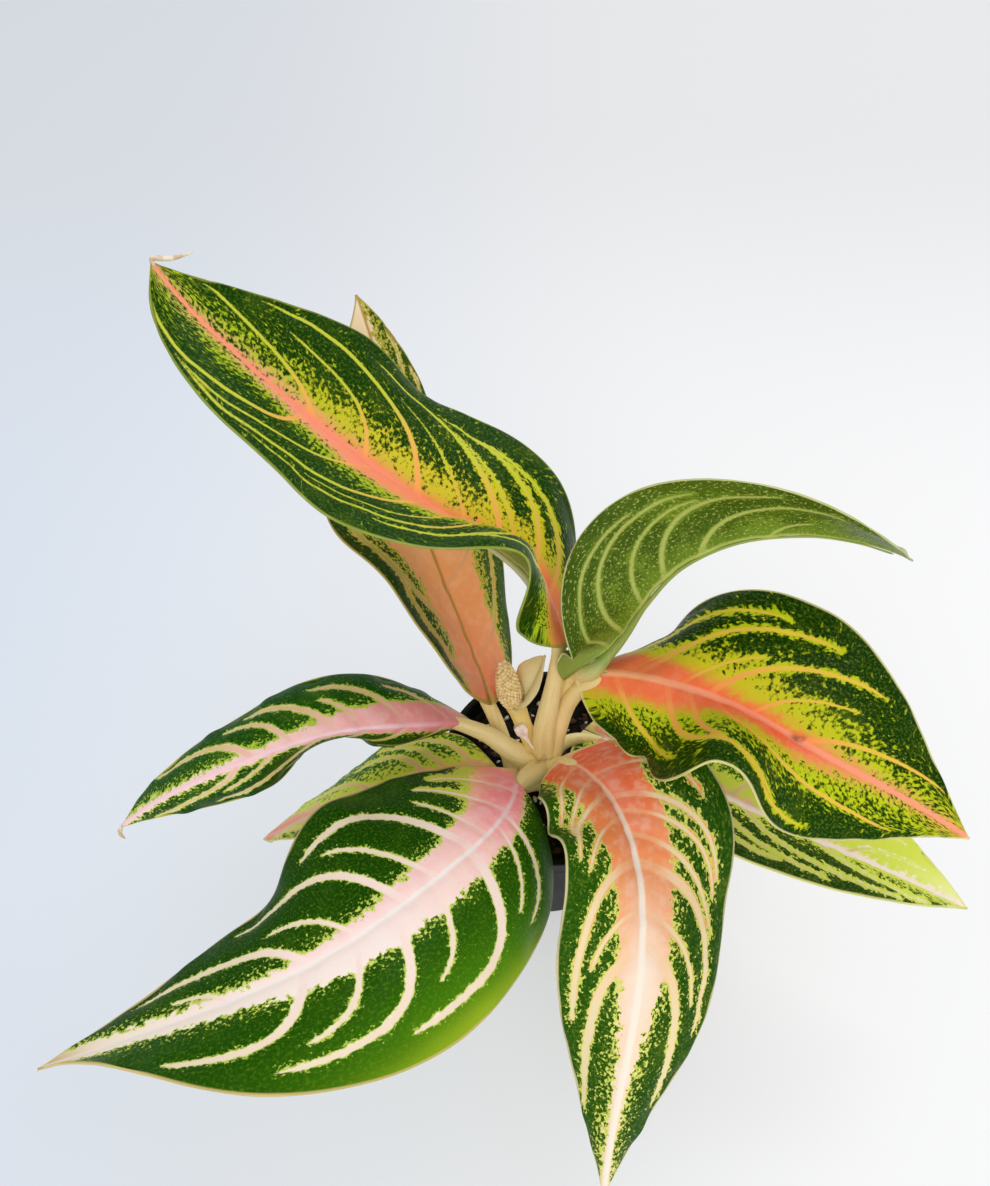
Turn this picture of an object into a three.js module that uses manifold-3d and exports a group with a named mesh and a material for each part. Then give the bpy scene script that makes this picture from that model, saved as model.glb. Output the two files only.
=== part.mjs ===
// A chinese evergreen (Aglaonema) growing in a round nursery pot.
//
// Units are millimetres and +Z is up. The origin is the centre of the pot's flat underside, and -Y is the
// side of the plant that carries the two big front leaves.
//
// Every leaf is a blade on its own petiole. A blade follows its midrib, which has a heading and a climb in
// degrees at stations along its length. Each half of the blade leaves the midrib at a fold angle, bends on by
// a curl, and may carry ruffles in its margin. The petioles nest in each other round a short cane.

import * as THREE from "three";
import { mergeVertices } from "three/addons/utils/BufferGeometryUtils.js";
import Module from "manifold-3d";

const wasm = await Module();
wasm.setup();

// ---------------------------------------------------------------------------------------------------------
// Driving dimensions

const SEAT_GAP = 0.3; // between a piece and what it sits on
const MERGE_DISTANCE = 1e-3;

const POT = {
  height: 90,
  rimRadius: 52.5,
  bandHeight: 13, // the stiffening band under the lip
  bandRadius: 51,
  shoulderRadius: 48.6, // the wall just under the band
  footRadius: 38,
  wall: 1.4,
  floor: 2,
  segments: 48,
  drain: { count: 8, radius: 4, ring: 30, segments: 12 },
};

const MIX = {
  surface: 78, // height of the potting mix in the pot
  relief: 1.1,
  segments: 32,
  rings: 5,
  perlite: { count: 22, smallest: 1.3, largest: 2.3, innerRing: 17, outerRing: 44, seed: 11 },
};

const STEM = {
  path: [
    [-5.4, -1.5, 64],
    [-5.4, -2, 78],
    [-5, -3, 92],
    [-4.4, -3.2, 103],
    [-4.2, -3, 110],
  ],
  radii: [7.4, 7.4, 7.4, 7, 2.5],
  scarSpacing: 0.17, // leaf scars, as a share of the stem's length
  scarHeight: 0.5,
};

const BLADE = {
  thickness: 0.8,
  ribDepth: 1.7, // the midrib stands out of the underside by this much at its base
  lobeReach: 0.07, // how far the basal lobes run back past the petiole, in blade lengths
  tipHalfWidth: 0.5,
  columns: [0, 0.08, 0.3, 0.55, 0.8, 1], // from the midrib to the margin
  rows: 16,
};

// Stations along a blade at which its numbers are given, from the base to the tip.
const MIDRIB_STATIONS = [0, 0.2, 0.45, 0.7, 1];
const FOLD_STATIONS = [0, 0.15, 0.35, 0.6, 1];
const TURN_STATIONS = [0, 0.5, 1];

// Half width of a blade along its length, as a share of the widest.
const OUTLINE = {
  stations: [0, 0.04, 0.1, 0.2, 0.35, 0.5, 0.7, 0.88, 1],
  share: [0.3, 0.58, 0.79, 0.94, 1, 0.95, 0.68, 0.3, 0],
};

// "left" and "right" of a blade are as seen from its upper face, looking from the base to the tip.
const LEAVES = {
  upper_left: {
    base: [-2, 10, 192],
    length: 209,
    halfWidth: { left: 57, right: 56 },
    heading: [121, 162, 158, 165, 126],
    climb: [32, 30, 31, 45, 18],
    roll: [12, 2, -3],
    fold: { left: [68, 76, 45, 24, 13], right: [-29, 26, 21, 27, 13] },
    curl: { left: [82, 15, 18], right: [40, 26, 16] },
    ruffles: [{ side: "right", at: 0.47, span: 0.094, height: -14 }],
    petiole: {
      path: [
        [-4.5, -2, 103],
        [-4.5, 0.5, 119],
        [-1, 7, 152],
        [-0.5, 7, 175],
      ],
      radii: [6.5, 4.8, 3.6, 3.2, 3],
    },
  },
  rear: {
    base: [-33, 16.5, 136],
    length: 182,
    halfWidth: { left: 45, right: 43 },
    heading: [112, 117, 113, 109, 120],
    climb: [27, 30, 40, 46, 48],
    roll: [28, 19, 13],
    fold: { left: [25, 29, 32, -6, 6], right: [-6, 3, 18, -9, 8] },
    curl: { left: [-10, 32, 13], right: [29, 45, 11] },
    ruffles: [],
    petiole: {
      path: [
        [-7, -5, 86],
        [-17.5, -5, 87],
        [-20.5, 0.5, 93],
        [-26, 11, 106],
        [-31.5, 16, 120],
      ],
      radii: [4.6, 3.8, 3.6, 3.4, 3.3, 3.2],
    },
  },
  upper_right: {
    base: [12, 8, 159],
    length: 169,
    halfWidth: { left: 36, right: 41 },
    heading: [21, 13, -2, -3, 10],
    climb: [36, 69, 43, 0, -42],
    roll: [-46, -37, -23],
    fold: { left: [24, 36, 30, 20, 26], right: [61, 40, 70, 55, 14] },
    curl: { left: [42, 35, 23], right: [55, 16, 28] },
    ruffles: [],
    petiole: {
      path: [
        [-2, 0, 102],
        [3, 9, 124],
        [7.5, 12, 146],
      ],
      radii: [6, 4.8, 4, 3.8],
    },
  },
  right: {
    base: [21, 3.2, 160],
    length: 166,
    halfWidth: { left: 53, right: 43 },
    heading: [-26, -19, -26, -22, -28],
    climb: [30, -3, -15, -17, -21],
    roll: [1, 2, 0],
    fold: { left: [-1, -1, 36, 41, 11], right: [-41, -22, 41, -2, -28] },
    curl: { left: [69, 1, 22], right: [31, 30, 43] },
    ruffles: [
      { side: "right", at: 0.19, span: 0.04, height: -17 },
      { side: "right", at: 0.3, span: 0.036, height: 8 },
    ],
    petiole: {
      path: [
        [-3, -3, 99],
        [3.5, 6, 123],
        [9, 6.5, 140],
        [16.5, 4, 151.5],
      ],
      radii: [6.5, 5.2, 4.5, 4.2, 4],
    },
  },
  lower_right: {
    base: [26, 12, 91],
    length: 184,
    halfWidth: { left: 41, right: 39 },
    heading: [-40, -33, -27, -19, -15],
    climb: [20, 4, -5, -14, -26],
    roll: [-11, -8, -5],
    fold: { left: [24, 24, 24, 28, 29], right: [10, 16, 26, 29, 28] },
    curl: { left: [20, 24, 8], right: [15, 17, 11] },
    ruffles: [],
    petiole: {
      path: [
        [-4, -3, 84],
        [4, 8, 91],
        [13, 11.5, 92],
      ],
      radii: [5, 3.4, 2.8, 2.6],
    },
  },
  front: {
    base: [10, -18, 117],
    length: 198,
    halfWidth: { left: 46, right: 36 },
    heading: [-53, -73, -95, -105, -93],
    climb: [34, 2, -19, -41, -65],
    roll: [-6, -6, 0],
    fold: { left: [6, 36, -11, -20, -31], right: [16, 37, 30, -2, -29] },
    curl: { left: [12, 31, 30], right: [50, 11, 55] },
    ruffles: [{ side: "right", at: 0.2, span: 0.045, height: -13 }],
    petiole: {
      path: [
        [-3, -5, 94],
        [2, -10, 104],
        [7, -15, 112],
      ],
      radii: [5.5, 4.4, 3.6, 3.4],
    },
  },
  front_left: {
    base: [-18, -32, 126],
    length: 228,
    halfWidth: { left: 52, right: 55 },
    heading: [-94, -126, -140, -163, -163],
    climb: [38, 21, 7, -13, -5],
    roll: [-3, 5, 25],
    fold: { left: [-22, -6, 3, 17, 30], right: [17, 7, 5, 3, -5] },
    curl: { left: [85, 50, -25], right: [26, 31, 22] },
    ruffles: [],
    petiole: {
      path: [
        [-6, -6, 96],
        [-10, -14, 104],
        [-14, -22, 113],
      ],
      radii: [6, 4.6, 3.8, 3.4],
    },
  },
  left: {
    base: [-44, 2, 121],
    length: 182,
    halfWidth: { left: 37, right: 36 },
    heading: [220, 197, 196, 187, 181],
    climb: [45, 20, -8, -31, -51],
    roll: [-21, -20, -20],
    fold: { left: [-80, -67, -85, -57, -60], right: [-4, -5, 1, -6, -3] },
    curl: { left: [50, 42, 24], right: [47, 61, 21] },
    ruffles: [],
    petiole: {
      path: [
        [-6, -4, 95],
        [-18, -4, 105.5],
        [-31, 0.5, 114],
      ],
      radii: [6.4, 5.2, 3.9, 2.9],
    },
  },
  lower_left: {
    base: [-33, -9, 99],
    length: 131,
    halfWidth: { left: 33, right: 34 },
    heading: [205, 197, 190, 177, 170],
    climb: [36, 8, -22, -43, -53],
    roll: [17, 21, 19],
    fold: { left: [24, 24, 24, 28, 23], right: [24, 12, 10, 7, 8] },
    curl: { left: [20, 21, 13], right: [27, 34, 16] },
    ruffles: [],
    petiole: {
      path: [
        [-6, -7, 84.5],
        [-16, -12, 88],
        [-25, -12, 92.5],
      ],
      radii: [4.6, 3.6, 3.2, 3],
    },
  },
};

const PEDUNCLE = {
  path: [
    [-5, -1, 100],
    [-9.5, 0, 106],
    [-13.5, 4, 114],
    [-16.5, 8.5, 121],
    [-18, 9.6, 124.6],
  ],
  radii: [4.6, 4, 3.8, 4, 4.4],
};

const SPADIX = {
  path: [
    [-18.4, 9.9, 125.2],
    [-20.2, 11.6, 129.5],
    [-21.8, 14.6, 136],
    [-22.8, 17, 142],
    [-23.2, 18.2, 145],
  ],
  radii: [4, 5.7, 5.2, 4.2, 2],
  knobHeight: 0.5,
  knobRows: 9,
  knobsRound: 7,
};

// The spathe is a small blade of the same make as the leaves.
const SPATHE = {
  base: [-17.2, 9.4, 121.8],
  length: 34,
  halfWidth: { left: 14, right: 10 },
  heading: [14, 26, 38, 46, 50],
  climb: [40, 58, 68, 70, 64],
  roll: [-30, -30, -30],
  fold: { left: [50, 48, 44, 38, 20], right: [50, 48, 44, 38, 20] },
  curl: { left: [45, 45, 30], right: [55, 50, 30] },
  ruffles: [],
  lobeReach: 0,
  ribDepth: 0,
  rows: 10,
};

const BRACT = {
  path: [
    [-8.6, -4.4, 108],
    [-11.2, -3.4, 112.4],
    [-14.2, -1.2, 117.4],
    [-16.8, 0.4, 122],
  ],
  radii: [0.9, 1.2, 2.5, 1.6],
};

const FINISH = {
  pot: { color: "#17181a", roughness: 0.5 },
  potting_mix: { color: "#2c241c", roughness: 1 },
  stem: { color: "#cdbd98", roughness: 0.6 },
  petiole: { color: "#dccfae", roughness: 0.5 },
  blade: { color: "#5f8a3e", roughness: 0.35 },
  flower: { color: "#e6dcb4", roughness: 0.5 },
};

// ---------------------------------------------------------------------------------------------------------
// Number helpers

const radians = THREE.MathUtils.degToRad;

/** A smooth value at `s` through `values` at `stations`, as a cubic with averaged slopes. */
function smoothAt(stations, values, s) {
  const last = stations.length - 1;
  const slope = (i) => {
    const a = Math.max(i - 1, 0);
    const b = Math.min(i + 1, last);
    return (values[b] - values[a]) / (stations[b] - stations[a]);
  };
  let i = 0;
  while (i < last - 1 && s >= stations[i + 1]) i += 1;
  const span = stations[i + 1] - stations[i];
  const t = THREE.MathUtils.clamp((s - stations[i]) / span, 0, 1);
  const t2 = t * t;
  const t3 = t2 * t;
  return (
    (2 * t3 - 3 * t2 + 1) * values[i] +
    (t3 - 2 * t2 + t) * span * slope(i) +
    (3 * t2 - 2 * t3) * values[i + 1] +
    (t3 - t2) * span * slope(i + 1)
  );
}

/** A value at `u` from 0 to 1 along a list whose entries are evenly spread. */
function evenlyAt(values, u) {
  const place = u * (values.length - 1);
  const i = Math.min(Math.floor(place), values.length - 2);
  return THREE.MathUtils.lerp(values[i], values[i + 1], place - i);
}

/** A repeatable source of numbers from 0 to 1. */
function seededRandom(seed) {
  let state = seed;
  return () => {
    state = (state * 16807) % 2147483647;
    return state / 2147483647;
  };
}

// ---------------------------------------------------------------------------------------------------------
// Solids

/** A closed geometry as a solid that can be cut and joined. */
function solidOf(geometry) {
  const bare = geometry.clone();
  bare.deleteAttribute("normal");
  bare.deleteAttribute("uv");
  const merged = mergeVertices(bare, MERGE_DISTANCE);
  const corners = merged.index.array;
  const kept = [];
  for (let i = 0; i < corners.length; i += 3) {
    const [a, b, c] = corners.slice(i, i + 3);
    if (a !== b && b !== c && c !== a) kept.push(a, b, c);
  }
  return new wasm.Manifold(
    new wasm.Mesh({
      numProp: 3,
      vertProperties: merged.attributes.position.array,
      triVerts: new Uint32Array(kept),
    }),
  );
}

/** A solid as geometry, without the crumbs that a cut may leave. */
function geometryOf(solid) {
  const bodies = solid.decompose();
  const body = bodies.reduce((a, b) => (b.volume() > a.volume() ? b : a));
  const mesh = body.getMesh();
  const geometry = new THREE.BufferGeometry();
  geometry.setAttribute("position", new THREE.BufferAttribute(mesh.vertProperties, 3));
  geometry.setIndex(new THREE.BufferAttribute(mesh.triVerts, 1));
  geometry.computeVertexNormals();
  return geometry;
}

/** Geometry from a list of points and the faces between them, each a triangle or a quad. */
function geometryFrom(points, faces) {
  const triangles = faces.flatMap(([a, b, c, d]) => (d === undefined ? [a, b, c] : [a, b, c, a, c, d]));
  const geometry = new THREE.BufferGeometry().setFromPoints(points);
  geometry.setIndex(triangles);
  return geometry;
}

/** A round bar along a smooth path, with radii spread evenly along it and an optional relief. */
function sweep({ path, radii }, { sides = 10, steps = 12, grow = 0, relief = () => 0 } = {}) {
  const curve = new THREE.CatmullRomCurve3(path.map((p) => new THREE.Vector3(...p)));
  const frames = curve.computeFrenetFrames(steps);
  const points = [];
  const faces = [];
  for (let i = 0; i <= steps; i += 1) {
    const u = i / steps;
    const centre = curve.getPointAt(u);
    for (let j = 0; j < sides; j += 1) {
      const angle = (2 * Math.PI * j) / sides;
      const radius = evenlyAt(radii, u) + grow + relief(u, angle);
      points.push(
        centre
          .clone()
          .addScaledVector(frames.normals[i], radius * Math.cos(angle))
          .addScaledVector(frames.binormals[i], radius * Math.sin(angle)),
      );
    }
  }
  const at = (i, j) => i * sides + (j % sides);
  for (let i = 0; i < steps; i += 1) {
    for (let j = 0; j < sides; j += 1) {
      faces.push([at(i, j), at(i, j + 1), at(i + 1, j + 1), at(i + 1, j)]);
    }
  }
  const first = points.push(curve.getPointAt(0)) - 1;
  const last = points.push(curve.getPointAt(1)) - 1;
  for (let j = 0; j < sides; j += 1) {
    faces.push([first, at(0, j + 1), at(0, j)]);
    faces.push([last, at(steps, j), at(steps, j + 1)]);
  }
  return geometryFrom(points, faces);
}

/** A turned solid whose profile is given as radius and height. */
function turned(profile, segments) {
  const outline = profile.map(([radius, height]) => new THREE.Vector2(radius, height));
  return new THREE.LatheGeometry(outline, segments).rotateX(Math.PI / 2);
}

// ---------------------------------------------------------------------------------------------------------
// Blades

/** The midrib of a blade as evenly spaced points, each with its direction, its left and its upward normal. */
function midribOf(leaf, steps = 60) {
  const directionAt = (s) => {
    const heading = radians(smoothAt(MIDRIB_STATIONS, leaf.heading, s));
    const climb = radians(smoothAt(MIDRIB_STATIONS, leaf.climb, s));
    return {
      heading,
      along: new THREE.Vector3(
        Math.cos(climb) * Math.cos(heading),
        Math.cos(climb) * Math.sin(heading),
        Math.sin(climb),
      ),
    };
  };
  const place = new THREE.Vector3(...leaf.base);
  const midrib = [];
  for (let i = 0; i <= steps; i += 1) {
    const s = i / steps;
    if (i > 0) place.addScaledVector(directionAt(s - 0.5 / steps).along, leaf.length / steps);
    const { heading, along } = directionAt(s);
    const level = new THREE.Vector3(-Math.sin(heading), Math.cos(heading), 0);
    const raised = along.clone().cross(level);
    const roll = radians(smoothAt(TURN_STATIONS, leaf.roll, s));
    const left = level.clone().multiplyScalar(Math.cos(roll)).addScaledVector(raised, Math.sin(roll));
    const up = raised.clone().multiplyScalar(Math.cos(roll)).addScaledVector(level, -Math.sin(roll));
    midrib.push({ place: place.clone(), along, left, up });
  }
  return midrib;
}

/** The midrib's frame at a share `s` of the blade's length, carried straight on past either end. */
function frameAt(midrib, s, length) {
  const inside = THREE.MathUtils.clamp(s, 0, 1);
  const place = inside * (midrib.length - 1);
  const i = Math.min(Math.floor(place), midrib.length - 2);
  const mix = (key) => midrib[i][key].clone().lerp(midrib[i + 1][key], place - i);
  const frame = { place: mix("place"), along: mix("along"), left: mix("left"), up: mix("up") };
  frame.place.addScaledVector(frame.along, (s - inside) * length);
  return frame;
}

/** The point of a blade at a share `v` of its length and `u` from the midrib, 0, to a margin, -1 or 1. */
function bladePoint(leaf, midrib, v, u) {
  const side = u < 0 ? "right" : "left";
  const sign = u < 0 ? -1 : 1;
  const reach = Math.abs(u);
  const lobe = (leaf.lobeReach ?? BLADE.lobeReach) * (1 - v) ** 5 * reach ** 1.6;
  const s = v - lobe;
  const frame = frameAt(midrib, s, leaf.length);
  const stage = THREE.MathUtils.clamp(s, 0, 1);
  const width = Math.max(
    leaf.halfWidth[side] * smoothAt(OUTLINE.stations, OUTLINE.share, v),
    BLADE.tipHalfWidth,
  );
  const half = (radians(smoothAt(TURN_STATIONS, leaf.curl[side], stage)) * reach) / 2;
  const chord = width * reach * (Math.abs(half) > 1e-6 ? Math.sin(half) / half : 1);
  const tilt = radians(smoothAt(FOLD_STATIONS, leaf.fold[side], stage)) - half;
  const point = frame.place
    .clone()
    .addScaledVector(frame.left, sign * chord * Math.cos(tilt))
    .addScaledVector(frame.up, chord * Math.sin(tilt));
  for (const ruffle of leaf.ruffles.filter((r) => r.side === side)) {
    const lift = ruffle.height * Math.exp(-(((v - ruffle.at) / ruffle.span) ** 2)) * reach ** 2;
    point.addScaledVector(frame.up, lift * Math.cos(tilt - half));
    point.addScaledVector(frame.left, -sign * lift * Math.sin(tilt - half));
  }
  return point;
}

/** A blade as a closed sheet, grown on every side by `grow`. */
function bladeGeometry(leaf, grow = 0) {
  const rows = leaf.rows ?? BLADE.rows;
  const midrib = midribOf(leaf);
  const columns = [...BLADE.columns.slice(1).reverse().map((u) => -u), ...BLADE.columns];
  const start = -grow / leaf.length;
  const widen = 1 + grow / leaf.halfWidth.left;
  const rowAt = (i) => {
    const t = i / rows;
    const eased = t - Math.sin(2 * Math.PI * t) / (4 * Math.PI); // rows lie closer at the base and the tip
    return start + (1 - start) * eased;
  };
  const pointAt = (v, u) => bladePoint(leaf, midrib, v, u * widen);
  const upper = [];
  const lower = [];
  for (let i = 0; i <= rows; i += 1) {
    const v = rowAt(i);
    for (const u of columns) {
      const centre = pointAt(v, u);
      const ahead = pointAt(Math.min(v + 0.01, 1), u).sub(pointAt(Math.max(v - 0.01, start), u));
      const across = pointAt(v, Math.min(u + 0.04, 1)).sub(pointAt(v, Math.max(u - 0.04, -1)));
      const normal = ahead.cross(across).normalize();
      const rib = u === 0 ? (leaf.ribDepth ?? BLADE.ribDepth) * (1 - v) : 0;
      upper.push(centre.clone().addScaledVector(normal, BLADE.thickness / 2 + grow));
      lower.push(centre.clone().addScaledVector(normal, -BLADE.thickness / 2 - grow - rib));
    }
  }
  const wide = columns.length;
  const offset = upper.length;
  const at = (i, j) => i * wide + j;
  const faces = [];
  for (let i = 0; i < rows; i += 1) {
    for (let j = 0; j < wide - 1; j += 1) {
      const [a, b, c, d] = [at(i, j), at(i + 1, j), at(i + 1, j + 1), at(i, j + 1)];
      faces.push([a, b, c], [a, c, d]);
      faces.push([a + offset, c + offset, b + offset], [a + offset, d + offset, c + offset]);
    }
  }
  const rim = [
    ...Array.from({ length: rows }, (_, i) => [at(i, 0), at(i + 1, 0)]),
    ...Array.from({ length: wide - 1 }, (_, j) => [at(rows, j), at(rows, j + 1)]),
    ...Array.from({ length: rows }, (_, i) => [at(i + 1, wide - 1), at(i, wide - 1)]),
    ...Array.from({ length: wide - 1 }, (_, j) => [at(0, j + 1), at(0, j)]),
  ];
  for (const [a, b] of rim) faces.push([b, a, a + offset, b + offset]);
  return geometryFrom([...upper, ...lower], faces);
}

/** The petiole's own path, carried up to its seat under the blade's midrib. */
function petiolePath(leaf) {
  const { path, radii } = leaf.petiole;
  const { place, up } = midribOf(leaf)[0];
  const seat = place.clone().addScaledVector(up, -0.5 * radii[radii.length - 1]);
  return { path: [...path, seat.toArray()], radii };
}

// ---------------------------------------------------------------------------------------------------------
// Pieces

/** The nursery pot: a tapered wall, a banded lip and a flat floor with drain holes round it. */
function potGeometry() {
  const { height, rimRadius, bandRadius, bandHeight, shoulderRadius, footRadius, wall, floor } = POT;
  const bandBottom = height - bandHeight;
  const profile = [
    [0, 0],
    [footRadius - 1.5, 0],
    [footRadius, 1.5],
    [shoulderRadius - wall, bandBottom - 2],
    [bandRadius - 0.4, bandBottom],
    [bandRadius, height - 2.4],
    [rimRadius - 0.4, height - 2],
    [rimRadius, height - 1],
    [rimRadius - 0.5, height],
    [bandRadius - wall + 0.4, height],
    [bandRadius - wall - 0.4, bandBottom + 1],
    [shoulderRadius - 2 * wall, bandBottom - 2],
    [footRadius - wall + 0.2, floor],
    [0, floor],
  ];
  let pot = solidOf(turned(profile, POT.segments));
  const { count, radius, ring, segments } = POT.drain;
  for (let i = 0; i < count; i += 1) {
    const angle = (2 * Math.PI * (i + 0.5)) / count;
    const hole = new THREE.CylinderGeometry(radius, radius, 3 * floor, segments)
      .rotateX(Math.PI / 2)
      .translate(ring * Math.cos(angle), ring * Math.sin(angle), floor / 2);
    pot = pot.subtract(solidOf(hole));
  }
  return geometryOf(pot);
}

/** Height of the potting mix's crumbly top at a place in the pot. */
function mixHeight(x, y) {
  const waves = Math.sin(0.31 * x + 1.1) * Math.cos(0.27 * y) + Math.sin(0.52 * y - 0.33 * x);
  return MIX.surface + (MIX.relief * waves) / 2;
}

/** The potting mix fills the pot, takes the stem's foot, and has perlite standing out of its top. */
function mixGeometry(stemSocket) {
  const { footRadius, shoulderRadius, wall, floor, height, bandHeight } = POT;
  const bottomRadius = footRadius - wall + 0.2 - SEAT_GAP;
  const shoulder = height - bandHeight - 2;
  const topRadius = shoulderRadius - 2 * wall - SEAT_GAP;
  const rings = Array.from({ length: MIX.rings + 1 }, (_, i) => [
    topRadius * (1 - i / MIX.rings),
    MIX.surface,
  ]);
  const profile = [[0, floor + SEAT_GAP], [bottomRadius, floor + SEAT_GAP], [topRadius, shoulder], ...rings];
  const geometry = turned(profile, MIX.segments);
  const place = geometry.attributes.position;
  for (let i = 0; i < place.count; i += 1) {
    if (place.getZ(i) > MIX.surface - 0.01) place.setZ(i, mixHeight(place.getX(i), place.getY(i)));
  }
  let mix = solidOf(geometry);
  const random = seededRandom(MIX.perlite.seed);
  const { count, smallest, largest, innerRing, outerRing } = MIX.perlite;
  for (let i = 0; i < count; i += 1) {
    const ring = THREE.MathUtils.lerp(innerRing, outerRing - largest, Math.sqrt(random()));
    const angle = 2 * Math.PI * random();
    const size = THREE.MathUtils.lerp(smallest, largest, random());
    const [x, y] = [ring * Math.cos(angle), ring * Math.sin(angle)];
    const lump = new THREE.IcosahedronGeometry(size, 0)
      .rotateX(2 * Math.PI * random())
      .rotateY(2 * Math.PI * random())
      .translate(x, y, mixHeight(x, y) + 0.2 * size);
    mix = mix.add(solidOf(lump));
  }
  return geometryOf(mix.subtract(stemSocket));
}

/** Rings left on the stem by fallen leaves. */
function scarRelief(u) {
  const phase = (u / STEM.scarSpacing) % 1;
  return STEM.scarHeight * Math.exp(-(((phase - 0.5) / 0.14) ** 2));
}

/** Knobs that cover the spadix in a spiral. */
function knobRelief(u, angle) {
  const along = Math.cos(2 * Math.PI * SPADIX.knobRows * u);
  const around = Math.cos(SPADIX.knobsRound * angle + Math.PI * SPADIX.knobRows * u);
  return SPADIX.knobHeight * along * around;
}

// ---------------------------------------------------------------------------------------------------------
// Assembly

/** A named mesh in one of the plant's finishes. */
function piece(name, geometry, finish) {
  const mesh = new THREE.Mesh(geometry, new THREE.MeshStandardMaterial(FINISH[finish]));
  mesh.name = name;
  return mesh;
}

const plant = new THREE.Group();

const STEM_FACETS = { sides: 16, steps: 16 };
const stemGrown = solidOf(sweep(STEM, { ...STEM_FACETS, grow: SEAT_GAP + STEM.scarHeight }));
plant.add(piece("pot", potGeometry(), "pot"));
plant.add(piece("potting_mix", mixGeometry(stemGrown), "potting_mix"));
plant.add(piece("stem", sweep(STEM, { ...STEM_FACETS, relief: scarRelief }), "stem"));

// Each petiole clasps the stem and the petioles inside it, and stops short of its own blade.
let core = stemGrown;
for (const [name, leaf] of Object.entries(LEAVES)) {
  const path = petiolePath(leaf);
  const seat = solidOf(bladeGeometry(leaf, 1.3 * SEAT_GAP));
  const petiole = solidOf(sweep(path)).subtract(core).subtract(seat);
  plant.add(piece(`petiole_${name}`, geometryOf(petiole), "petiole"));
  plant.add(piece(`blade_${name}`, bladeGeometry(leaf), "blade"));
  core = core.add(solidOf(sweep(path, { grow: SEAT_GAP })));
}

const peduncle = solidOf(sweep(PEDUNCLE)).subtract(core);
plant.add(piece("peduncle", geometryOf(peduncle), "flower"));

const SPADIX_FACETS = { sides: 16, steps: 18 };
plant.add(piece("spadix", sweep(SPADIX, { ...SPADIX_FACETS, relief: knobRelief }), "flower"));

const flowerCore = core
  .add(solidOf(sweep(PEDUNCLE, { grow: SEAT_GAP })))
  .add(solidOf(sweep(SPADIX, { sides: 21, steps: 12, grow: SEAT_GAP + SPADIX.knobHeight })));
plant.add(piece("spathe", geometryOf(solidOf(bladeGeometry(SPATHE)).subtract(flowerCore)), "flower"));

const bract = solidOf(sweep(BRACT, { sides: 10, steps: 8 })).subtract(flowerCore);
plant.add(piece("bract", geometryOf(bract), "flower"));

export default plant;
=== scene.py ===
"""A potted chinese evergreen (Aglaonema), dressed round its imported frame.

Every leaf is a blade on a clasping petiole, built from the same named shape values as the frame's solids
and painted by a pattern laid out in the blade's own millimetres: an open centre, lateral veins that sweep
towards the tip, and green fields with jagged, speckled edges between them.
"""

import logging
import math
import random
from dataclasses import dataclass, field
from enum import Enum
from typing import Any, Callable, Sequence

import bmesh
import bpy
import numpy as np
from mathutils import Matrix, Vector, noise

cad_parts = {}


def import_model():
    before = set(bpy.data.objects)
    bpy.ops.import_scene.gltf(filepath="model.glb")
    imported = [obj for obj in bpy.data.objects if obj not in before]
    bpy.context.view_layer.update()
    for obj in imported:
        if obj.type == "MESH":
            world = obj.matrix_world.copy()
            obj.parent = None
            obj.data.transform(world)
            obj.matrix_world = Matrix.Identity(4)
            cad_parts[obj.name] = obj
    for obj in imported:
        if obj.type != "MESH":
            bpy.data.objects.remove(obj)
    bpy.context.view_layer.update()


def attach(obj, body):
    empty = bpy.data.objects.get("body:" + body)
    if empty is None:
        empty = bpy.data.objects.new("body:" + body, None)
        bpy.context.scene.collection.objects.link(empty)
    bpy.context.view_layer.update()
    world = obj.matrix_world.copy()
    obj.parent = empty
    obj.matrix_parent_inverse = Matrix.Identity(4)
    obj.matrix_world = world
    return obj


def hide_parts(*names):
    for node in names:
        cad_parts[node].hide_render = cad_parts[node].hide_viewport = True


LOG = logging.getLogger("chinese_evergreen")

MM = 0.001
Point = tuple[float, float, float]
Pair = tuple[float, float]

# Stations along a blade at which its numbers are given, from the base, 0, to the tip, 1.
MIDRIB_STATIONS = (0.0, 0.2, 0.45, 0.7, 1.0)
FOLD_STATIONS = (0.0, 0.15, 0.35, 0.6, 1.0)
TURN_STATIONS = (0.0, 0.5, 1.0)

# Half width of a blade along its length, as a share of the widest.
OUTLINE_STATIONS = (0.0, 0.04, 0.1, 0.2, 0.35, 0.5, 0.7, 0.88, 1.0)
OUTLINE_SHARE = (0.3, 0.58, 0.79, 0.94, 1.0, 0.95, 0.68, 0.3, 0.0)
TIP_HALF_WIDTH = 0.5
LOBE_REACH = 0.07
HEEL_ROUND = 0.035

# Stations at which a midrib's and a vein's width and tint are given, as shares of their length.
RIB_STATIONS = (0.0, 0.35, 1.0)
TINT_STATIONS = (0.0, 0.25, 1.0)


# Numbers and colours ----------------------------------------------------------


def linear(hex_colour: str) -> tuple[float, float, float, float]:
    """A linear colour for the shaders.

    Args:
        hex_colour: The colour as sRGB, such as "#aabbcc".

    Returns:
        Red, green, blue and an alpha of 1.
    """
    parts = [int(hex_colour[i : i + 2], 16) / 255 for i in (1, 3, 5)]
    red, green, blue = (c / 12.92 if c <= 0.04045 else ((c + 0.055) / 1.055) ** 2.4 for c in parts)
    return red, green, blue, 1.0


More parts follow.
